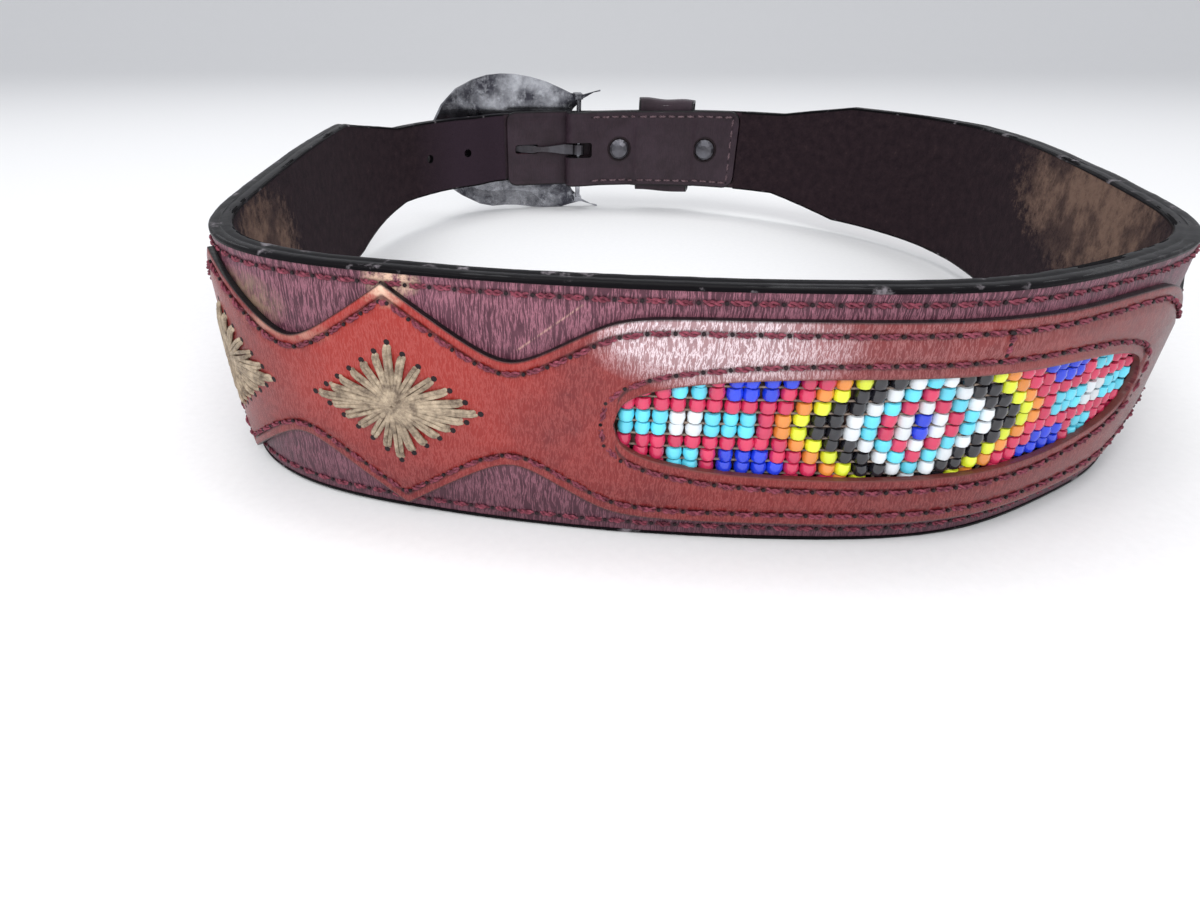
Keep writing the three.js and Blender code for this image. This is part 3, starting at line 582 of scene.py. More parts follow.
class Nodes:
    """Adds nodes to a tree and hands back what they give as values."""

    def __init__(self, tree):
        self.tree = tree

    def add(self, kind, settings=None, **links):
        node = self.tree.nodes.new(kind)
        for key, value in (settings or {}).items():
            setattr(node, key, value)
        for key, value in links.items():
            self.link(value, node.inputs[key])
        return node

    def value(self, node, output=0):
        return Value(self, node.outputs[output])

    def link(self, value, socket):
        if isinstance(value, Value):
            self.tree.links.new(value.socket, socket)
        else:
            socket.default_value = value

    def maths(self, operation, *values, kind="ShaderNodeMath"):
        node = self.add(kind, {"operation": operation})
        for value, socket in zip(values, node.inputs):
            self.link(value, socket)
        return self.value(node)

    def vector_maths(self, operation, *values):
        return self.maths(operation, *values, kind="ShaderNodeVectorMath")

    def vector(self, **parts):
        return self.value(self.add("ShaderNodeCombineXYZ", **parts))

    def split(self, vector):
        """The X and Y of a vector."""
        node = self.add("ShaderNodeSeparateXYZ", Vector=vector)
        return self.value(node, "X"), self.value(node, "Y")

    def mix(self, factor, first, second):
        node = self.add("ShaderNodeMix", {"data_type": "RGBA"})
        for value, index in ((factor, 0), (first, 6), (second, 7)):
            self.link(value, node.inputs[index])
        return self.value(node, 2)

    def paint(self, colour, *coats):
        """A colour with coats of (factor, colour) over it, in order."""
        for factor, coat in coats:
            colour = self.mix(factor, colour, coat)
        return colour

    def ramp(self, value, low, high):
        node = self.add("ShaderNodeMapRange", {"clamp": True}, Value=value)
        node.inputs["From Min"].default_value = low
        node.inputs["From Max"].default_value = high
        return self.value(node)

    def noise(self, vector, scale, detail=4.0, rough=0.6):
        node = self.add("ShaderNodeTexNoise", Vector=vector, Scale=scale, Detail=detail, Roughness=rough)
        return self.value(node, "Fac")

    def attribute(self, name, output="Fac"):
        return self.value(self.add("ShaderNodeAttribute", {"attribute_name": name}), output)

    def flat(self):
        """The place on the flat strap, one unit for each FLAT_UNIT."""
        return self.value(self.add("ShaderNodeUVMap", {"uv_map": "Flat"}), "UV")

    def place(self):
        return self.value(self.add("ShaderNodeTexCoord"), "Object")

    def group(self, name, vector, **links):
        """What a shared group gives, one value for each of its outputs."""
        node = self.tree.nodes.new("ShaderNodeGroup")
        node.node_tree = bpy.data.node_groups[name]
        for key, value in {"Vector": vector, **links}.items():
            self.link(value, node.inputs[key])
        return [self.value(node, output) for output in range(len(node.outputs))]

    def spot(self, flat, along, height, radius_along, radius_height):
        """A soft mask round a place on the flat strap, given in millimetres."""
        x, y = self.split(flat)
        x = (x - along / FLAT_UNIT) / (radius_along / FLAT_UNIT)
        y = (y - height / FLAT_UNIT) / (radius_height / FLAT_UNIT)
        return (1.0 - (x * x + y * y)).clamped()


class Finish(Nodes):
    """The nodes of one new material."""

    def __init__(self, name, roughness, metallic=0.0, coat=0.0, specular=0.5):
        self.made = bpy.data.materials.new(name)
        self.made.use_nodes = True
        super().__init__(self.made.node_tree)
        self.shader = self.tree.nodes["Principled BSDF"]
        self.shader.inputs["Roughness"].default_value = roughness
        self.shader.inputs["Metallic"].default_value = metallic
        self.shader.inputs["Coat Weight"].default_value = coat
        self.shader.inputs["Specular IOR Level"].default_value = specular

    def done(self, colour, height, strength, distance=0.0002, rough=None):
        """The material, with its colour, its bump and its roughness where that varies."""
        self.link(colour, self.shader.inputs["Base Color"])
        if rough is not None:
            self.link(rough, self.shader.inputs["Roughness"])
        bump = self.add("ShaderNodeBump", Height=height, Strength=strength, Distance=distance)
        self.link(self.value(bump, "Normal"), self.shader.inputs["Normal"])
        return self.made


def new_group(name, outputs, **inputs):
    """An empty shared group, and the values of its vector and its numbers, which come with defaults."""
    group = bpy.data.node_groups.new(name, "ShaderNodeTree")
    group.interface.new_socket("Vector", in_out="INPUT", socket_type="NodeSocketVector")
    for label, default in inputs.items():
        socket = group.interface.new_socket(label, in_out="INPUT", socket_type="NodeSocketFloat")
        socket.default_value = default
    for label in outputs:
        group.interface.new_socket(label, in_out="OUTPUT", socket_type="NodeSocketFloat")
    n = Nodes(group)
    source = n.add("NodeGroupInput")
    return n, *[n.value(source, label) for label in ("Vector", *inputs)]


def build_groups():
    """Shared effects: creases across a strap, leather grain and worn patches."""
    n, vector, density, reach = new_group("Strap Creases", ["Lines"], Density=60.0, Reach=6.0)
    warp = n.vector(X=(n.noise(vector, 9.0, 3.0) - 0.5) * 0.02)
    drawn = n.vector_maths("MULTIPLY", n.vector_maths("ADD", vector, warp), n.vector(X=density, Y=reach, Z=1.0))
    fibre = n.noise(drawn, 1.0, 5.0, 0.65)
    n.add("NodeGroupOutput", Lines=(1.0 - abs(fibre - 0.5) * 20.0).clamped())

    n, vector, scale = new_group("Leather Grain", ["Height", "Mottle"], Scale=150.0)
    voronoi = n.add("ShaderNodeTexVoronoi", {"feature": "SMOOTH_F1"}, Vector=vector, Scale=scale)
    cells = n.value(voronoi, "Distance")
    pores = n.noise(vector, scale * 2.3, 3.0)
    mottle = n.noise(vector, scale * 0.35, 6.0, 0.7)
    n.add("NodeGroupOutput", Height=cells * 0.6 + pores * 0.6, Mottle=mottle)

    n, vector, scale, amount = new_group("Worn Patch", ["Mask"], Scale=8.0, Amount=0.5)
    cloud = n.noise(vector, scale, 8.0, 0.62)
    n.add("NodeGroupOutput", Mask=((cloud - (0.85 - amount * 0.5)) * 9.0).clamped())


def base_leather(c):
    n = Finish("Plum Strap Leather", 0.4, coat=0.05, specular=0.3)
    flat = n.flat()
    x, y = n.split(flat)
    edge = n.attribute("edge")
    (lines,) = n.group("Strap Creases", flat, Density=150.0, Reach=13.0)
    height, mottle = n.group("Leather Grain", flat, Scale=110.0)
    (patch,) = n.group("Worn Patch", flat, Scale=2.4, Amount=0.75)
    # Darker towards the bottom, and painted shade towards the right end, where the strap turns away from the
    # light
    low = n.maths("MAXIMUM", n.ramp(y, 0.16, 0.0), n.ramp(x, 0.45, 0.8))
    scratch = n.ramp(abs(y - (x * 0.8 + 0.953)), 0.003, 0.001) * n.ramp(n.spot(flat, -66, 42.5, 8, 7), 0.0, 0.2)
    scratch = scratch * n.ramp(lines, 0.0, 0.4)
    rubbed = n.spot(flat, -129, 41, 13, 6) * n.ramp(mottle, 0.35, 0.6)
    scuffed = n.spot(flat, -94, 49.5, 6, 5) * n.ramp(mottle, 0.42, 0.55)
    # Painted shade in the groove along the stitch line
    groove = n.ramp(abs(edge - 2.7), 0.75, 0.25)
    inner = n.mix(n.ramp(n.noise(flat, 5.0, 8.0, 0.65), 0.35, 0.62), c.suede_dark, c.strap_inner)
    colour = n.paint(
        c.strap_dark,
        (mottle, c.strap),
        (patch * 0.35, c.strap_pale),
        (lines * 0.75, c.strap_line),
        (low * 0.55, c.strap_dark),
        (rubbed * 0.8, c.rubbed),
        ((scratch * 0.35 + scuffed).clamped(), c.scuff),
        (groove * 0.6, c.groove),
        (n.ramp(abs(x), 3.4, 3.6) * 0.9, inner),
        (n.ramp(edge, 1.1, 0.2), c.edge),
    )
    return n.done(colour, height * 0.4 + lines, 0.35, rough=mottle * 0.3 + 0.3)


def overlay_leather(c):
    n = Finish("Red Brown Overlay Leather", 0.35, coat=0.1, specular=0.35)
    flat = n.flat()
    x, y = n.split(flat)
    edge, depth = n.attribute("edge"), n.attribute("depth")
    (lines,) = n.group("Strap Creases", flat, Density=170.0, Reach=30.0)
    height, mottle = n.group("Leather Grain", flat, Scale=75.0)
    (patch,) = n.group("Worn Patch", flat, Scale=3.0, Amount=0.8)
    warm = (n.spot(flat, -92, 34, 30, 26) + patch * 0.3).clamped()
    # Painted highlight: pale spots on the upper band of the overlay, broken by the creases, stand in for the
    # light's wide reflection there
    highlight = (n.spot(flat, -42, 43, 17, 6) + n.spot(flat, -36, 41, 24, 9)).clamped()
    highlight = n.maths("MAXIMUM", highlight, n.spot(flat, -18, 44, 48, 12) * 0.1)
    painted_highlight_mask = (highlight * (lines + 0.3)).clamped()
    # Partly a real scuff at the tip of the diamond and partly a painted highlight along the rim of its neck
    scuff = (n.spot(flat, -95, 49.0, 6, 5) + n.spot(flat, -117, 38, 12, 3) * 0.4).clamped()
    # Painted shade in the groove along the stitch line
    groove = n.ramp(abs(edge - 2.4), 0.75, 0.25)
    window = n.ramp(n.spot(flat, 0, MIDDLE, 62, 15.5), 0.02, 0.1)
    rim = n.mix(window, c.edge, n.mix(mottle, c.rim, c.overlay_dark))
    colour = n.paint(
        c.overlay_dark,
        (mottle, c.overlay),
        (warm * 0.8, c.overlay_warm),
        # Painted shade: the overlay darkens towards its right end, where it turns away from the light, in two
        # steps
        (n.ramp(x, 0.38, 0.72) * 0.85, c.overlay_shade),
        (n.ramp(x, 0.5, 0.7) * 0.7, c.groove),
        (n.ramp(y, 0.2, 0.02) * 0.5, c.overlay_dark),
        (lines * 0.2, c.overlay_line),
        (painted_highlight_mask * 0.8, c.polish),
        (scuff * n.ramp(mottle, 0.4, 0.6), c.scuff),
        (groove * 0.7, c.groove),
        (n.ramp(edge, 0.45, 0.0), rim),
        (n.ramp(depth, 0.5, 0.9), rim),
    )
    return n.done(colour, height * 0.5 + lines * 0.6, 0.3, rough=mottle * 0.25 + 0.26)


def suede(c):
    n = Finish("Lining Suede", 0.95, specular=0.1)
    flat = n.flat()
    x, _y = n.split(flat)
    height, _mottle = n.group("Leather Grain", flat, Scale=120.0)
    (patch,) = n.group("Worn Patch", flat, Scale=5.0, Amount=0.85)
    nap = n.noise(flat, 24.0, 12.0, 0.78)
    worn = (n.spot(flat, -176, 30, 40, 26) + n.spot(flat, 130, 42, 72, 24)).clamped()
    torn = worn + (nap - 0.5) * 2.4
    worn = (n.ramp(torn, 0.25, 1.0) * (patch * 0.6 + 0.25)).clamped() * n.ramp(torn, 0.1, 0.5)
    colour = n.paint(
        c.suede_dark,
        (n.ramp(nap, 0.3, 0.7), c.suede),
        (worn, c.suede_worn),
        (n.ramp(x, -3.6, -3.9), c.strap_inner),
        (n.ramp(n.attribute("edge"), 0.9, 0.4), c.edge),
    )
    return n.done(colour, nap + height, 0.8, 0.0006)


def painted_edge(c):
    n = Finish("Painted Edge", 0.35, specular=0.07)
    place = n.place()
    (chips,) = n.group("Worn Patch", place, Scale=160.0, Amount=0.52)
    return n.done(n.mix(chips * 0.6, c.edge, c.edge_chip), n.noise(place, 300.0, 4.0), 0.25, 0.0003)


def bead_glass():
    n = Finish("Bead Glass", 0.1, coat=0.5, specular=0.5)
    cloud = n.noise(n.place(), 700.0, 3.0)
    return n.done(n.mix(cloud * 0.18, n.attribute("bead_colour", "Color"), (0.02, 0.02, 0.03, 1)), cloud, 0.06)


# Pale fibres mixed in by noise: the thread's lighter strands, and on the stitch, flap and star threads also
# painted glints of light
def thread_material(name, colour, pale, scale=900.0):
    n = Finish(name, 0.6, specular=0.25)
    fibre = n.noise(n.place(), scale, 5.0, 0.7)
    return n.done(n.mix(n.ramp(fibre, 0.35, 0.68), colour, pale), fibre, 0.5)


def cast_metal(name, colour, dark, roughness):
    n = Finish(name, roughness, metallic=1.0)
    place = n.place()
    cloud = n.noise(place, 38.0, 6.0, 0.6)
    tarnish = n.ramp(cloud, 0.36, 0.58) * n.ramp(n.noise(place, 220.0, 6.0, 0.7), 0.2, 0.5)
    rough = cloud * 0.2 + (roughness - 0.08)
    return n.done(n.mix(tarnish, colour, dark), n.noise(place, 900.0, 4.0), 0.15, rough=rough)


def colour_property(name, default):
    label = name.replace("_", " ").capitalize()
    return bpy.props.FloatVectorProperty(
        name=label, description=f"{label} colour", subtype="COLOR", size=4, min=0, max=1, default=default
    )


def length_property(name, description, millimetres):
    return bpy.props.FloatProperty(name=name, description=description, default=millimetres * MM, unit="LENGTH")


class BeltSizes(bpy.types.PropertyGroup):
    base_thickness: length_property("Base strap", "Thickness of the base strap", BASE)
    lining_thickness: length_property("Lining", "Thickness of the suede lining", LINING)
    overlay_thickness: length_property("Overlay", "Thickness of the scalloped overlay", OVERLAY)
    stitch_pitch: length_property("Stitch pitch", "Length of one stitch on the front", 4.5)
    bead_diameter: length_property("Bead width", "Width of one seed bead", BEAD_WIDTH)
    thread_radius: length_property("Thread radius", "Radius of one strand of the stitching", 0.26)


# Colours by the 0 to 255 values that a picture shows, and then by linear values
PICTURE_COLOURS = {
    "strap": (92, 48, 63),
    "strap_dark": (50, 24, 35),
    "strap_pale": (116, 74, 88),
    "strap_line": (172, 112, 128),
    "strap_inner": (54, 42, 51),
    "overlay": (122, 33, 32),
    "overlay_dark": (88, 21, 27),
    "overlay_warm": (156, 40, 30),
    # Painted shade towards the overlay's right end
    "overlay_shade": (74, 24, 34),
    "overlay_line": (222, 128, 122),
    # Pale scuffs on both leathers, and on the overlay also a painted highlight along a neck's rim
    "scuff": (226, 190, 165),
    "rubbed": (150, 128, 104),
    # Painted highlight on the overlay's upper band
    "polish": (240, 226, 232),
    "rim": (112, 70, 60),
    # Painted shade, in the stitch grooves and towards the overlay's right end
    "groove": (42, 14, 22),
    "edge": (8, 6, 9),
    "edge_chip": (168, 160, 166),
    "suede": (54, 41, 45),
    "suede_dark": (30, 22, 28),
    "suede_worn": (132, 106, 92),
    "thread": (66, 22, 34),
    # Lighter strands and painted glints on the stitch thread
    "thread_pale": (150, 74, 90),
    "star": (100, 86, 73),
    # Lighter strands and painted glints on the star thread
    "star_pale": (190, 172, 148),
    "metal": (206, 208, 214),
    "pewter": (84, 80, 84),
    "metal_dark": (112, 112, 118),
    "tarnish": (72, 72, 80),
}
LINEAR_COLOURS = {
    "flap_thread": (0.055, 0.03, 0.038, 1),
    # Lighter strands and painted glints on the flap thread
    "flap_thread_pale": (0.3, 0.2, 0.22, 1),
    "beading": (0.1, 0.07, 0.06, 1),
    "beading_pale": (0.32, 0.25, 0.2, 1),
    # Painted shade: the stitch holes and the rings round the snaps
    "hole": (0.008, 0.004, 0.006, 1),
    "hole_pale": (0.02, 0.01, 0.012, 1),
    "backing": (0.1, 0.05, 0.045, 1),
    "backing_pale": (0.2, 0.12, 0.1, 1),
}


class BeltColours(bpy.types.PropertyGroup):
    """A colour property for each name in the tables"""

    __annotations__ = {name: colour_property(name, srgb(*PICTURE_COLOURS[name])) for name in PICTURE_COLOURS}
    __annotations__.update({name: colour_property(name, LINEAR_COLOURS[name]) for name in LINEAR_COLOURS})


def stand_on(piece, along, height, out):
    """Moves a piece made about the origin onto the strap: its X along, its Y up and its Z outwards."""
    centre, outer, above = (
        Vector(round_loop(np.array([along]), np.array([h]), np.array([o]))[0])
        for h, o in ((height, out), (height, out + 1.0), (height + 1.0, out))
    )
    z = (outer - centre).normalized()
    y = (above - centre).normalized()
    turn = Matrix((y.cross(z), y, z)).transposed().to_4x4()
    piece.data.transform(Matrix.Translation(centre) @ turn)


def cut(piece, along, height, out, size):
    """Cuts a round hole of that radius, or a slot of (along, height, through), square to the strap."""
    deselect_all()
    if isinstance(size, float):
        bpy.ops.mesh.primitive_cylinder_add(vertices=24, radius=size * MM, depth=14 * MM)
    else:
        bpy.ops.mesh.primitive_cube_add(size=1)
        bpy.context.object.scale = [side * MM for side in size]
        bpy.ops.object.transform_apply(scale=True)
        apply_modifier(bpy.context.object, "BEVEL", width=1.4 * MM, segments=4, limit_method="NONE")
    tool = bpy.context.object
    stand_on(tool, along, height, out)
    apply_modifier(piece, "BOOLEAN", operation="DIFFERENCE", object=tool, solver="EXACT")
    bpy.data.objects.remove(tool)
    smooth(piece, 45)


def cut_billet_holes(piece):
    for past in HOLES:
        cut(piece, BAR + past - LOOP_LENGTH, MIDDLE, -2.4, HOLE_RADIUS)


def cut_slot(piece, bar, out):
    cut(piece, bar + sum(SLOT) / 2, END_MIDDLE, out, (SLOT[1] - SLOT[0], SLOT_HEIGHT, SLOT_DEPTH))


def loop_path(top):
    """A strap that follows the base strap, with its outer face that far out from it."""
    return lambda along, depth: (along, strap_rise(along) + top - depth)


def even_points(line, pitch):
    """Points a pitch apart along a line of (along, height)."""
    line = np.asarray(line, float)
    steps = np.linalg.norm(np.diff(line, axis=0), axis=1)
    travelled = np.concatenate([[0], np.cumsum(steps)])
    count = max(1, int(round(travelled[-1] / pitch)))
    marks = np.linspace(0, travelled[-1], count + 1)
    return np.column_stack([np.interp(marks, travelled, line[:, k]) for k in (0, 1)])


def inset_line(places, edge, inset):
    """A line moved square to an edge by the inset."""
    line = np.column_stack([places, edge])
    travel = np.gradient(line, axis=0)
    travel /= np.linalg.norm(travel, axis=1, keepdims=True)
    moved = line + np.column_stack([-travel[:, 1], travel[:, 0]]) * inset
    keep = np.concatenate([[True], np.diff(moved[:, 0]) > 0.02])
    return moved[keep]


def hole_mark(pile, along, height, out, radius=0.36, side_of=1):
    """A dark cone where a thread goes in, painted shade for the hole in the leather."""
    angles = np.arange(8) * math.pi / 4
    rings = [
        round_loop(along + r * np.cos(angles), height + r * np.sin(angles), np.full(8, out + side_of * o))
        for r, o in ((radius, -0.3), (radius, 0.03), (0.5 * radius, 0.06))
    ]
    pile.add(*sweep(rings))


def stitch_line(threads, holes, points, out, seed, thickness=0.36, side_of=1, gap=0.16):
    """Stitches between neighbouring points, with a dark hole mark of painted shade at each point."""
    random = np.random.default_rng(seed)
    for start, stop in zip(points[:-1], points[1:]):
        middle = (start + stop) / 2
        level = out(middle[0]) if callable(out) else out
        a = start + (stop - start) * gap + random.normal(0, 0.08, 2)
        b = stop - (stop - start) * gap + random.normal(0, 0.08, 2)
        twisted_stitch(threads, a, b, level, thickness, 1.1, random.uniform(0, 6), 0.5, side_of)
    for point in points:
        level = out(point[0]) if callable(out) else out
        hole_mark(holes, point[0], point[1], level, side_of=side_of)


def sizes():
    return bpy.context.scene.belt_sizes


def colours():
    return bpy.context.scene.belt_colours


MAKERS = {
    "strap": base_leather,
    "overlay": overlay_leather,
    "suede": suede,
    "edge": painted_edge,
    "beads": lambda _c: bead_glass(),
    "thread": lambda c: thread_material("Stitch Thread", c.thread, c.thread_pale),
    "flap thread": lambda c: thread_material("Flap Thread", c.flap_thread, c.flap_thread_pale),
    "star": lambda c: thread_material("Star Thread", c.star, c.star_pale, 500.0),
    "pale": lambda c: thread_material("Beading Thread", c.beading, c.beading_pale),
    "holes": lambda c: thread_material("Stitch Holes", c.hole, c.hole_pale),
    "backing": lambda c: thread_material("Bead Backing", c.backing, c.backing_pale),
    "metal": lambda c: cast_metal("Buckle Metal", c.metal, c.tarnish, 0.24),
    "prong": lambda c: cast_metal("Prong Metal", c.metal_dark, c.pewter, 0.4),
    "snap": lambda c: cast_metal("Snap Pewter", c.metal_dark, c.pewter, 0.34),
}
MADE = {}


def finish_material(name):
    """Each material is made once, when its first piece asks for it."""
    if not MADE:
        build_groups()
    if name not in MADE:
        MADE[name] = MAKERS[name](colours())
    return MADE[name]


def finish_piece(piece, name, slot, *nodes):
    """Gives a piece its material and its body, and hides the CAD nodes that it replaces; its slot is not used.
    """
    piece.data.materials.clear()
    piece.data.materials.append(finish_material(name))
    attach(piece, "root")
    if nodes:
        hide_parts(*nodes)


class BeltOperator(bpy.types.Operator):
    """One piece, or a group of like pieces, of the belt"""

    bl_options = {"REGISTER", "UNDO"}


class BELT_OT_strap(BeltOperator):
    """Make the plum strap with its window, its fold over the bar, its flap and its billet"""

    bl_idname = "belt.strap"
    bl_label = "Base Strap"

    def execute(self, _context):
        finer = [(BILLET_TIP, BILLET_TIP + 14, 0.7), (-58, -47, 0.8), (47, 58, 0.8)]
        finer += [(FOLD_ALONG - 1, FOLD_ALONG + FOLD_ARC + 1, 0.6), (STRAP_END - 8, STRAP_END, 0.5)]
        places = columns(BILLET_TIP, STRAP_END, 1.8, finer)
        piece = leather_band("plum_strap", places, base_outline, base_path, sizes().base_thickness / MM)
        cut_billet_holes(piece)
        cut_slot(piece, BAR - LOOP_LENGTH, 5.0)
        cut(piece, BAR + 0.5, END_MIDDLE, -3.4, (PRONG_SLOT_LENGTH, PRONG_SLOT_HEIGHT, PRONG_SLOT_DEPTH))
        finish_piece(piece, "strap", "base_leather", "base_strap")
        return {"FINISHED"}


class BELT_OT_lining(BeltOperator):
    """Make the suede lining inside the loop"""

    bl_idname = "belt.lining"
    bl_label = "Suede Lining"

    def execute(self, _context):
        start, stop = BAR + GUARD_LENGTH + 1.6 - LOOP_LENGTH, FLAP_END - 0.6

        def outline(run):
            half, middle = strap_edges(run)
            return middle - half, middle + half, middle, middle

        path = loop_path(-BASE - GAP)
        thickness = sizes().lining_thickness / MM
        piece = leather_band("suede_lining", columns(start, stop, 2.0), outline, path, thickness, seam_depth=0)
        cut_billet_holes(piece)
        finish_piece(piece, "suede", "lining_suede", "lining")
        return {"FINISHED"}


class BELT_OT_overlay(BeltOperator):
    """Make the red-brown overlay with its diamonds and its bead window"""

    bl_idname = "belt.overlay"
    bl_label = "Scalloped Overlay"

    def execute(self, _context):
        peaks = [side * (FIRST_NECK + DIAMOND_PITCH * k) for side in (-1, 1) for k in (0.5, 1.5)]
        finer = [(peak - 3, peak + 3, 0.4) for peak in peaks]
        finer += [(-58, -46, 0.6), (46, 58, 0.6)]
        finer += [(-OVERLAY_END, -OVERLAY_END + 8, 0.6), (OVERLAY_END - 8, OVERLAY_END, 0.6)]
        places = columns(-OVERLAY_END, OVERLAY_END, 1.2, finer)
        thickness = sizes().overlay_thickness / MM
        path = loop_path(GAP + thickness)
        piece = leather_band("scalloped_overlay", places, overlay_outline, path, thickness, 0.5, 0.6, 2.4)
        finish_piece(piece, "overlay", "overlay_leather", "overlay")
        return {"FINISHED"}


# The painted edge across both leathers: (height past the edge, out from the base strap's outer face)
EDGE_SECTION = [(-0.8, 0.06), (-0.35, 0.03), (0.0, -0.35), (0.1, -1.1), (0.05, -2.0)]
EDGE_SECTION += [(-0.06, -2.4), (-0.06, -2.6), (0.06, -3.0), (0.1, -3.9), (-0.05, -4.5)]
EDGE_SECTION += [(-0.4, -4.74), (-0.8, -4.76), (-1.0, -4.4), (-1.0, -0.3)]


class BELT_OT_edges(BeltOperator):
    """Paint the cut edges of strap and lining as one glossy dark band"""

    bl_idname = "belt.edges"
    bl_label = "Painted Edges"

    def execute(self, _context):
        places = np.arange(BAR + 40.5 - LOOP_LENGTH, BAR - 88.5, 1.6)
        section = np.array(EDGE_SECTION)
        random = np.random.default_rng(11)
        pile = MeshPile()
        for side in (-1, 1):
            half, middle = strap_edges(places)
            wave = np.convolve(random.normal(0, 0.35, len(places) + 8), np.ones(9) / 9, "valid")
            along = np.repeat(places[:, None], len(section), axis=1)
            past = section[:, 0] + wave[:, None] * (section[:, 0] > -0.5) * 0.5
            height = (middle + side * half)[:, None] + side * past
            out = strap_rise(places)[:, None] + section[:, 1]
            pile.add(*sweep(round_loop(along, height, out)))
        finish_piece(pile.piece("painted_edges"), "edge", "base_leather")
        return {"FINISHED"}


def bead_colour(column, row):
    """The charted colour of one bead: columns from the middle one, rows from the line between two rows."""
    c, k = abs(column), row
    ring = c + k
    chart = "bwrcwkkyo"
    if ring < len(chart):
        return chart[ring]
    if k == 0:
        return "c" if c in (10, 11, 12, 15, 16, 17) else "w" if c in (13, 14) else "r"
    if k == 2:
        return "b" if 9 <= c <= 11 else "c" if c in (13, 14) else "r"
    if k == 3:
        return "b" if 8 <= c <= 11 else "c" if c in (13, 14) else "r"
    return "r"


BEAD_COLOURS = {
    "b": (26, 62, 225),
    "c": (100, 222, 246),
    "r": (214, 48, 92),
    "o": (236, 145, 58),
    "y": (232, 244, 50),
    "k": (26, 26, 32),
    "w": (232, 238, 242),
}


class BELT_OT_beads(BeltOperator):
    """Make the seed beads, row by row, with their threads and backing"""

    bl_idname = "belt.beads"
    bl_label = "Seed Beads"

    def execute(self, _context):
        self.make_beads()
        self.make_threads()
        self.make_backing()
        return {"FINISHED"}

    @staticmethod
    def one_bead():
        """A short rounded tube with its hole along the flat height."""
        radii = {"major_radius": BEAD_RING, "minor_radius": BEAD_WALL}
        bpy.ops.mesh.primitive_torus_add(major_segments=11, minor_segments=6, **radii)
        model = bpy.context.object
        bead = coordinates(model.data)
        faces = [list(face.vertices) for face in model.data.polygons]
        bpy.data.objects.remove(model)
        radius = np.hypot(bead[:, 0], bead[:, 1])
        level = (radius - BEAD_RING) / BEAD_WALL
        bead[:, :2] *= ((BEAD_RING + BEAD_WALL * np.sign(level) * np.abs(level) ** 0.75) / radius)[:, None]
        bead[:, 2] = BEAD_HALF_WIDTH * np.sign(bead[:, 2]) * np.abs(bead[:, 2] / BEAD_WALL) ** 0.8
        return bead[:, (0, 2, 1)] * (1, 1, -1), faces

    def make_beads(self):
        bead, faces = self.one_bead()
        random = np.random.default_rng(3)
        pile = MeshPile()
        width = sizes().bead_diameter / MM / BEAD_WIDTH
        for column in range(-BEAD_COLUMNS, BEAD_COLUMNS + 1):
            lean_of_column = random.normal(0, 0.14)
            for row in np.arange(-BEAD_ROWS, BEAD_ROWS + 2) - 0.5:
                along = column * BEAD_PITCH + random.normal(0, 0.09) + lean_of_column * row / 4
                height = MIDDLE + row * BEAD_ROW_PITCH + random.normal(0, 0.07)
                room = np.interp(abs(along), *BEAD_ROOM)
                if abs(height - MIDDLE) > room or abs(along) > WINDOW_HALF_LENGTH + 0.8:
                    continue
                turn = random.normal(0, 0.06)
                grow = random.normal(1, 0.03, 3) * (width, 1, 1)
                shape = bead * grow
                x = along + shape[:, 0] * math.cos(turn) - shape[:, 1] * math.sin(turn)
                y = height + shape[:, 0] * math.sin(turn) + shape[:, 1] * math.cos(turn)
                out = BEAD_OUT + random.normal(0, 0.09) + shape[:, 2]
                value = np.array(srgb(*BEAD_COLOURS[bead_colour(column, int(abs(row)))]))
                value[:3] *= random.uniform(0.86, 1.08)
                pile.add(round_loop(x, y, out), faces, np.clip(value, 0, 1))
        piece = pile.piece("seed_beads")
        layer = piece.data.color_attributes.new("bead_colour", "FLOAT_COLOR", "POINT")
        layer.data.foreach_set("color", np.concatenate(pile.values).astype(np.float32).ravel())
        smooth(piece, 180)
        finish_piece(piece, "beads", "beads", "bead_panel")

    def make_threads(self):
        random = np.random.default_rng(5)
        pile = MeshPile()
        for step in range(-BEAD_ROWS - 1, BEAD_ROWS + 1):
            height = MIDDLE + step * BEAD_ROW_PITCH
            reach = np.interp(abs(height - MIDDLE), *WARP_ROOM)
            along = np.arange(-reach, reach, 1.5)
            sway = random.normal(0, 0.05, len(along))
            line = np.column_stack([along, height + sway, WARP_OUT + random.normal(0, 0.05, len(along))])
            pile.tube(line, 0.24, 5)
        for column in range(-BEAD_COLUMNS, BEAD_COLUMNS + 1):
            along = column * BEAD_PITCH
            reach = np.interp(abs(along), *WEFT_ROOM)
            height = np.arange(MIDDLE - reach, MIDDLE + reach, 1.3)
            line = np.column_stack([0 * height + along, height, 0 * height + BEAD_OUT])
            pile.tube(line, 0.3, 5)
        finish_piece(pile.piece("beading_threads"), "pale", "beads")

    def make_backing(self):
        def outline(run):
            half = window_half(run, UNDERCUT - 0.3)
            return MIDDLE - half, MIDDLE + half, MIDDLE + 0 * run, MIDDLE + 0 * run

        end = WINDOW_HALF_LENGTH + UNDERCUT - 0.4
        piece = leather_band("bead_backing", columns(-end, end, 2), outline, loop_path(-1.9), 0.35, 0, 0.1)
        finish_piece(piece, "backing", "beads")


def star_tips():
    """Evenly spaced tips round a rhombus, from its right corner."""
    reach = (STAR_HALF_LENGTH - 0.6, STAR_HALF_HEIGHT - 0.5)
    corners = np.array([(1, 0), (0, 1), (-1, 0), (0, -1), (1, 0)]) * reach
    side = STAR_RAYS // 4
    return [corners[k] + (corners[k + 1] - corners[k]) * j / side for k in range(4) for j in range(side)]


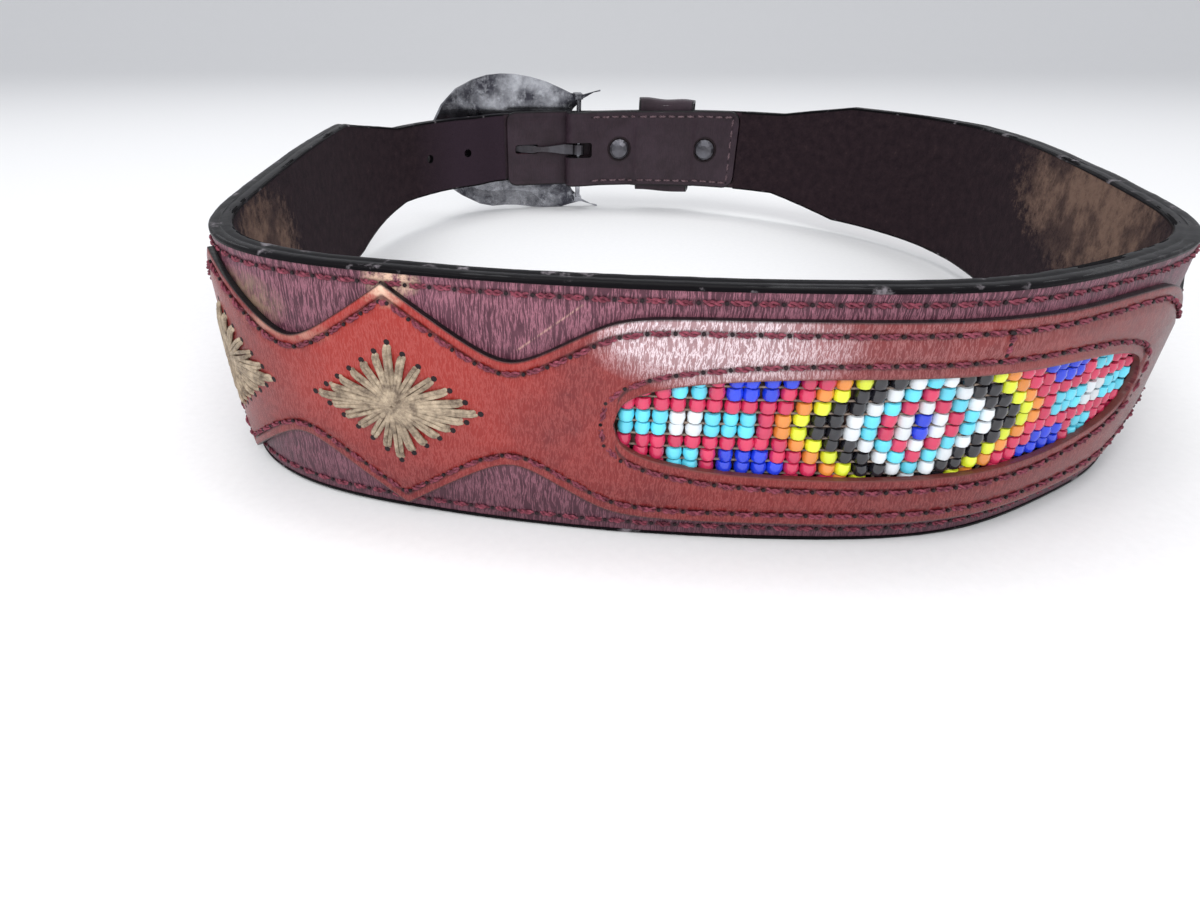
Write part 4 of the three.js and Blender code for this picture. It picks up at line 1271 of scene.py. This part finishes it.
class BELT_OT_stars(BeltOperator):
    """Stitch a star of two-strand rays on each diamond"""

    bl_idname = "belt.stars"
    bl_label = "Thread Stars"

    def execute(self, _context):
        random = np.random.default_rng(21)
        holes = MeshPile()
        nodes = ("star_left_1", "star_left_2", "star_right_1", "star_right_2")
        order = sorted(nodes, key=lambda node: self.along_of(node))
        for centre, node in zip(STAR_CENTRES, order):
            pile = MeshPile()
            for tip in star_tips():
                length = np.linalg.norm(tip)
                direction = tip / length
                across = np.array([-direction[1], direction[0]])
                for strand in (-0.42, 0.42):
                    t = np.linspace(0.02, 1, 12)
                    fan = strand * np.clip(t * 2.5, 0.25, 1) * np.where(t > 0.9, 0.85, 1)
                    drift = random.normal(0, 0.1) * np.sin(t * 3)
                    line = tip * (t * (1 + random.normal(0, 0.012)))[:, None] + across * (fan + drift)[:, None]
                    lift = 2.35 + 0.55 * np.exp(-t * length / 2.2) + random.uniform(-0.05, 0.08)
                    lift = lift - 1.1 * np.clip((t - 0.88) / 0.12, 0, 1) ** 1.5
                    path = np.column_stack([centre + line[:, 0], MIDDLE + line[:, 1], lift])
                    pile.tube(path, 0.46 - 0.12 * np.exp(-t * length / 3), 7, 0.85)
                hole_mark(holes, centre + tip[0] * 1.02, MIDDLE + tip[1] * 1.02, GAP + OVERLAY, 0.6)
            finish_piece(pile.piece(node + "_threads"), "star", "star_thread", node)
        finish_piece(holes.piece("star_holes"), "holes", "star_thread")
        return {"FINISHED"}

    @staticmethod
    def along_of(node):
        low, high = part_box(node)
        return (low[0] + high[0]) / 2


class BELT_OT_stitches(BeltOperator):
    """Stitch the strap, overlay, window, flap and guard"""

    bl_idname = "belt.stitches"
    bl_label = "Stitching"

    def execute(self, _context):
        pitch = sizes().stitch_pitch / MM
        radius = sizes().thread_radius / MM
        front, holes, inside = MeshPile(), MeshPile(), MeshPile()
        top = GAP + OVERLAY
        for side in (-1, 1):
            places = np.arange(BAR + 60 - LOOP_LENGTH, BAR - 30, 1.0)
            half, middle = strap_edges(places)
            points = even_points(np.column_stack([places, middle + side * (half - STRAP_SEAM)]), pitch)
            stitch_line(front, holes, points, self.strap_out, 40 + side, radius)
            places = np.arange(-OVERLAY_END + 2, OVERLAY_END - 1.9, 0.5)
            edge = inset_line(places, MIDDLE + side * overlay_half(places), -side * OVERLAY_SEAM)
            stitch_line(front, holes, even_points(edge, pitch), top, 50 + side, radius)
            angles = np.linspace(0, math.pi, 240)
            x = np.sign(np.cos(angles)) * np.abs(np.cos(angles)) ** 0.667 * (WINDOW_HALF_LENGTH + WINDOW_SEAM)
            y = MIDDLE + side * np.sin(angles) ** 0.667 * (WINDOW_HALF_HEIGHT + WINDOW_SEAM)
            stitch_line(front, holes, even_points(np.column_stack([x, y]), pitch), top, 60 + side, radius)
            places = np.arange(FLAP_END + FLAP_SEAM, BAR - 6, 1.0)
            half, middle = strap_edges(places)
            row = np.column_stack([places, middle + side * (half - STRAP_SEAM)])
            stitch_line(inside, holes, even_points(row, FLAP_PITCH), self.flap_out, 70 + side, radius, -1)
            guard = [(BAR - 4, END_MIDDLE + side * 16.2), (BAR + GUARD_LENGTH - 4.5, END_MIDDLE + side * 16.2)]
            stitch_line(front, holes, even_points(guard, pitch), GUARD_OUT, 80 + side, radius)
        seam = [(SHORT_SEAM_ALONG, MIDDLE + 18.0), (SHORT_SEAM_ALONG, MIDDLE + 14.0)]
        stitch_line(front, holes, even_points(seam, SHORT_SEAM_PITCH), top, 90, radius)
        place = FLAP_END + FLAP_SEAM
        half, middle = strap_edges(place)
        across = [(place, middle - half + STRAP_SEAM), (place, middle + half - STRAP_SEAM)]
        stitch_line(inside, holes, even_points(across, FLAP_PITCH), self.flap_out, 91, radius, -1)
        finish_piece(front.piece("front_stitches"), "thread", "base_leather")
        finish_piece(inside.piece("flap_stitches"), "flap thread", "base_leather")
        finish_piece(holes.piece("stitch_holes"), "holes", "base_leather")
        return {"FINISHED"}

    @staticmethod
    def strap_out(along):
        return float(strap_rise(np.array(along)))

    @staticmethod
    def flap_out(along):
        along = np.array(along)
        return float(-strap_rise(along) - 2 * BASE - GAP - keeper_room(along))


class BELT_OT_keeper(BeltOperator):
    """Make the keeper band between strap and flap"""

    bl_idname = "belt.keeper"
    bl_label = "Keeper"

    def execute(self, _context):
        deselect_all()
        around = 72
        across = 16
        bpy.ops.mesh.primitive_cylinder_add(vertices=around, radius=1, depth=1, end_fill_type="NOTHING")
        piece = bpy.context.object
        piece.name = "keeper_band"
        bpy.ops.object.mode_set(mode="EDIT")
        bpy.ops.mesh.select_all(action="SELECT")
        bpy.ops.mesh.bisect(plane_co=(0, 0, 0), plane_no=(0, 0, 1))
        for k in range(1, across // 2):
            for z in (k / across, -k / across):
                bpy.ops.mesh.select_all(action="SELECT")
                bpy.ops.mesh.bisect(plane_co=(0, 0, z), plane_no=(0, 0, 1))
        bpy.ops.object.mode_set(mode="OBJECT")
        points = coordinates(piece.data)
        share = points[:, 2] + 0.5
        angle = np.arctan2(points[:, 1], points[:, 0])
        inner, outer = -(BASE + GAP) - KEEPER_THICKNESS, BILLET_REST + GAP + KEEPER_THICKNESS
        half = KEEPER_HEIGHT / 2
        width = (outer - inner) / 2
        square = 2 / 9
        x = np.sign(np.cos(angle)) * np.abs(np.cos(angle)) ** square
        y = np.sign(np.sin(angle)) * np.abs(np.sin(angle)) ** square
        along = BAR + KEEPER[0] + share * (KEEPER[1] - KEEPER[0])
        wave = (0.9 * share + 0.35 * np.sin(share * 9)) * (y > 0.5) - 0.4 * np.sin(share * 5) * (y < -0.5)
        height = MIDDLE + 0.2 + y * half + wave
        out = (inner + outer) / 2 + x * width
        store(piece, "edge", np.minimum(share, 1 - share) * 28)
        store(piece, "depth", np.zeros(len(share)))
        paint_flat_map(piece, along, height)
        move_points(piece.data, round_loop(along, height, out))
        outward_normals(piece)
        apply_modifier(piece, "SOLIDIFY", thickness=KEEPER_THICKNESS * MM, offset=-1)
        round_corners(piece, 0.4 * MM, 2)
        smooth(piece, 45)
        finish_piece(piece, "strap", "base_leather", "keeper")
        return {"FINISHED"}


class BELT_OT_guard(BeltOperator):
    """Make the leather guard behind the prong"""

    bl_idname = "belt.guard"
    bl_label = "Prong Guard"

    def execute(self, _context):
        end = BAR + GUARD_LENGTH

        def outline(run):
            half = rounded_half(END_HALF, end - run, 5, 4)
            return END_MIDDLE - half, END_MIDDLE + half, END_MIDDLE + 0 * run, END_MIDDLE + 0 * run

        def path(along, depth):
            return along, GUARD_OUT - depth

        places = columns(BAR - 7.5, end, 1.5, [(end - 6, end, 0.5)])
        piece = leather_band("guard_tab", places, outline, path, GUARD_THICKNESS)
        cut_slot(piece, BAR, 2.6)
        finish_piece(piece, "strap", "base_leather", "prong_guard")
        return {"FINISHED"}


class BELT_OT_metal(BeltOperator):
    """Finish the buckle, its prong and the snaps, with a dark ring of painted shadow on the leather round each
    snap
    """

    bl_idname = "belt.metal"
    bl_label = "Buckle and Snaps"

    def execute(self, _context):
        for node, name in (("buckle", "metal"), ("prong", "prong"), ("snap_1", "snap"), ("snap_2", "snap")):
            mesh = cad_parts[node].data
            mesh.materials.clear()
            mesh.materials.append(finish_material(name))
        # Painted shadow: a dark ring on the leather round each snap
        for i, past in enumerate(SNAPS):
            deselect_all()
            radii = {"major_radius": SNAP_SHADOW_RADIUS * MM, "minor_radius": SNAP_SHADOW_WIRE * MM}
            bpy.ops.mesh.primitive_torus_add(major_segments=48, minor_segments=8, **radii)
            ring = bpy.context.object
            ring.name = f"snap_shadow_ring_{i + 1}"
            out = float(-strap_rise(np.array(BAR + past)) - 2 * BASE - GAP)
            stand_on(ring, BAR + past, float(strap_edges(BAR + past)[1]), out - 0.1)
            smooth(ring, 180)
            finish_piece(ring, "holes", "base_leather")
        return {"FINISHED"}


# The camera as fitted to the photograph, in belt millimetres and degrees, and its flash in metres
CAMERA_PLACE = (-14.18, -104.69, 88.48)
CAMERA_DOWN = 28.13
CAMERA_LENS = 20.6
CAMERA_SHIFT = (0.0393, -0.0367)
FLASH_OFFSET = (-0.02, 0.0, 0.03)
FLASH_POWER = 0.3
FLASH_RADIUS = 0.013

# Each area light: its name, place and size in metres, and its power
LIT = (0, 0, 0.03)
LIGHTS = (
    ("key", (-0.7, -0.6, 1.3), (0.7, 0.7), 7),
    ("top", (0.1, 0.25, 1.4), (1.2, 0.5), 7),
    ("front", (0.5, -1.2, 0.7), (0.9, 0.5), 4),
)
WORLD_COLOUR = (0.93, 0.95, 1.0, 1)
WORLD_STRENGTH = 0.7
FLOOR_REACH = 2
FLOOR_BEND = 1.5


class BELT_OT_stage(BeltOperator):
    """Set the pale floor, the soft lights and the camera"""

    bl_idname = "belt.stage"
    bl_label = "Stage"

    def execute(self, _context):
        bpy.ops.mesh.primitive_plane_add(size=10)
        floor = bpy.context.object
        floor.name = "stage_floor"
        bpy.ops.object.mode_set(mode="EDIT")
        bpy.ops.mesh.subdivide(number_cuts=39)
        bpy.ops.object.mode_set(mode="OBJECT")
        points = coordinates(floor.data)
        back = np.clip(points[:, 1] - FLOOR_REACH, 0, None)
        angle = np.clip(back / FLOOR_BEND, 0, math.pi / 2)
        points[:, 2] = FLOOR_BEND * (1 - np.cos(angle)) + np.clip(back - FLOOR_BEND * math.pi / 2, 0, None)
        points[:, 1] = np.where(back > 0, FLOOR_REACH + FLOOR_BEND * np.sin(angle), points[:, 1])
        move_points(floor.data, points)
        smooth(floor, 60)
        n = Finish("Stage Floor", 0.85)
        grain = n.noise(n.place(), 500.0, 2.0)
        n.link(n.mix(grain, (0.82, 0.82, 0.82, 1), (0.88, 0.88, 0.88, 1)), n.shader.inputs["Base Color"])
        floor.data.materials.append(n.made)
        world = bpy.data.worlds.new("Studio")
        world.use_nodes = True
        background = world.node_tree.nodes["Background"]
        background.inputs["Color"].default_value = WORLD_COLOUR
        background.inputs["Strength"].default_value = WORLD_STRENGTH
        bpy.context.scene.world = world
        for name, place, size, power in LIGHTS:
            bpy.ops.object.light_add(type="AREA", location=place)
            light = bpy.context.object
            light.name = name
            light.data.shape = "RECTANGLE"
            light.data.size, light.data.size_y = size
            light.data.energy = power
            light.rotation_euler = (Vector(LIT) - Vector(place)).to_track_quat("-Z", "Y").to_euler()
        bpy.ops.object.camera_add()
        camera = bpy.context.object
        camera.location = lean(np.array(CAMERA_PLACE)) * MM + SHIFT
        camera.rotation_euler = (math.radians(90 - CAMERA_DOWN), 0, 0)
        camera.data.lens = CAMERA_LENS
        camera.data.shift_x, camera.data.shift_y = CAMERA_SHIFT
        camera.data.clip_start = 0.005
        bpy.context.scene.camera = camera
        bpy.ops.object.light_add(type="POINT", location=camera.location + Vector(FLASH_OFFSET))
        flash = bpy.context.object
        flash.name = "flash"
        flash.data.energy = FLASH_POWER
        flash.data.shadow_soft_size = FLASH_RADIUS
        bpy.context.scene.view_settings.view_transform = "Standard"
        return {"FINISHED"}


OPERATORS = (
    BELT_OT_strap,
    BELT_OT_lining,
    BELT_OT_overlay,
    BELT_OT_edges,
    BELT_OT_beads,
    BELT_OT_stars,
    BELT_OT_stitches,
    BELT_OT_keeper,
    BELT_OT_guard,
    BELT_OT_metal,
    BELT_OT_stage,
)


class BELT_PT_panel(bpy.types.Panel):
    """The belt's sizes, colours and pieces"""

    bl_idname = "BELT_PT_panel"
    bl_label = "Beaded Leather Belt"
    bl_space_type = "VIEW_3D"
    bl_region_type = "UI"
    bl_category = "Belt"

    def draw(self, context):
        for group in (context.scene.belt_sizes, context.scene.belt_colours):
            for name in group.__annotations__:
                self.layout.prop(group, name)
        for operator in OPERATORS:
            self.layout.operator(operator.bl_idname)


CLASSES = (BeltSizes, BeltColours) + OPERATORS + (BELT_PT_panel,)


def register():
    for made in CLASSES:
        bpy.utils.register_class(made)
    bpy.types.Scene.belt_sizes = bpy.props.PointerProperty(type=BeltSizes)
    bpy.types.Scene.belt_colours = bpy.props.PointerProperty(type=BeltColours)


def unregister():
    del bpy.types.Scene.belt_colours
    del bpy.types.Scene.belt_sizes
    for made in reversed(CLASSES):
        bpy.utils.unregister_class(made)


def main():
    register()
    for operator in OPERATORS:
        getattr(bpy.ops.belt, operator.bl_idname.split(".")[1])()


if __name__ == "__main__":
    main()
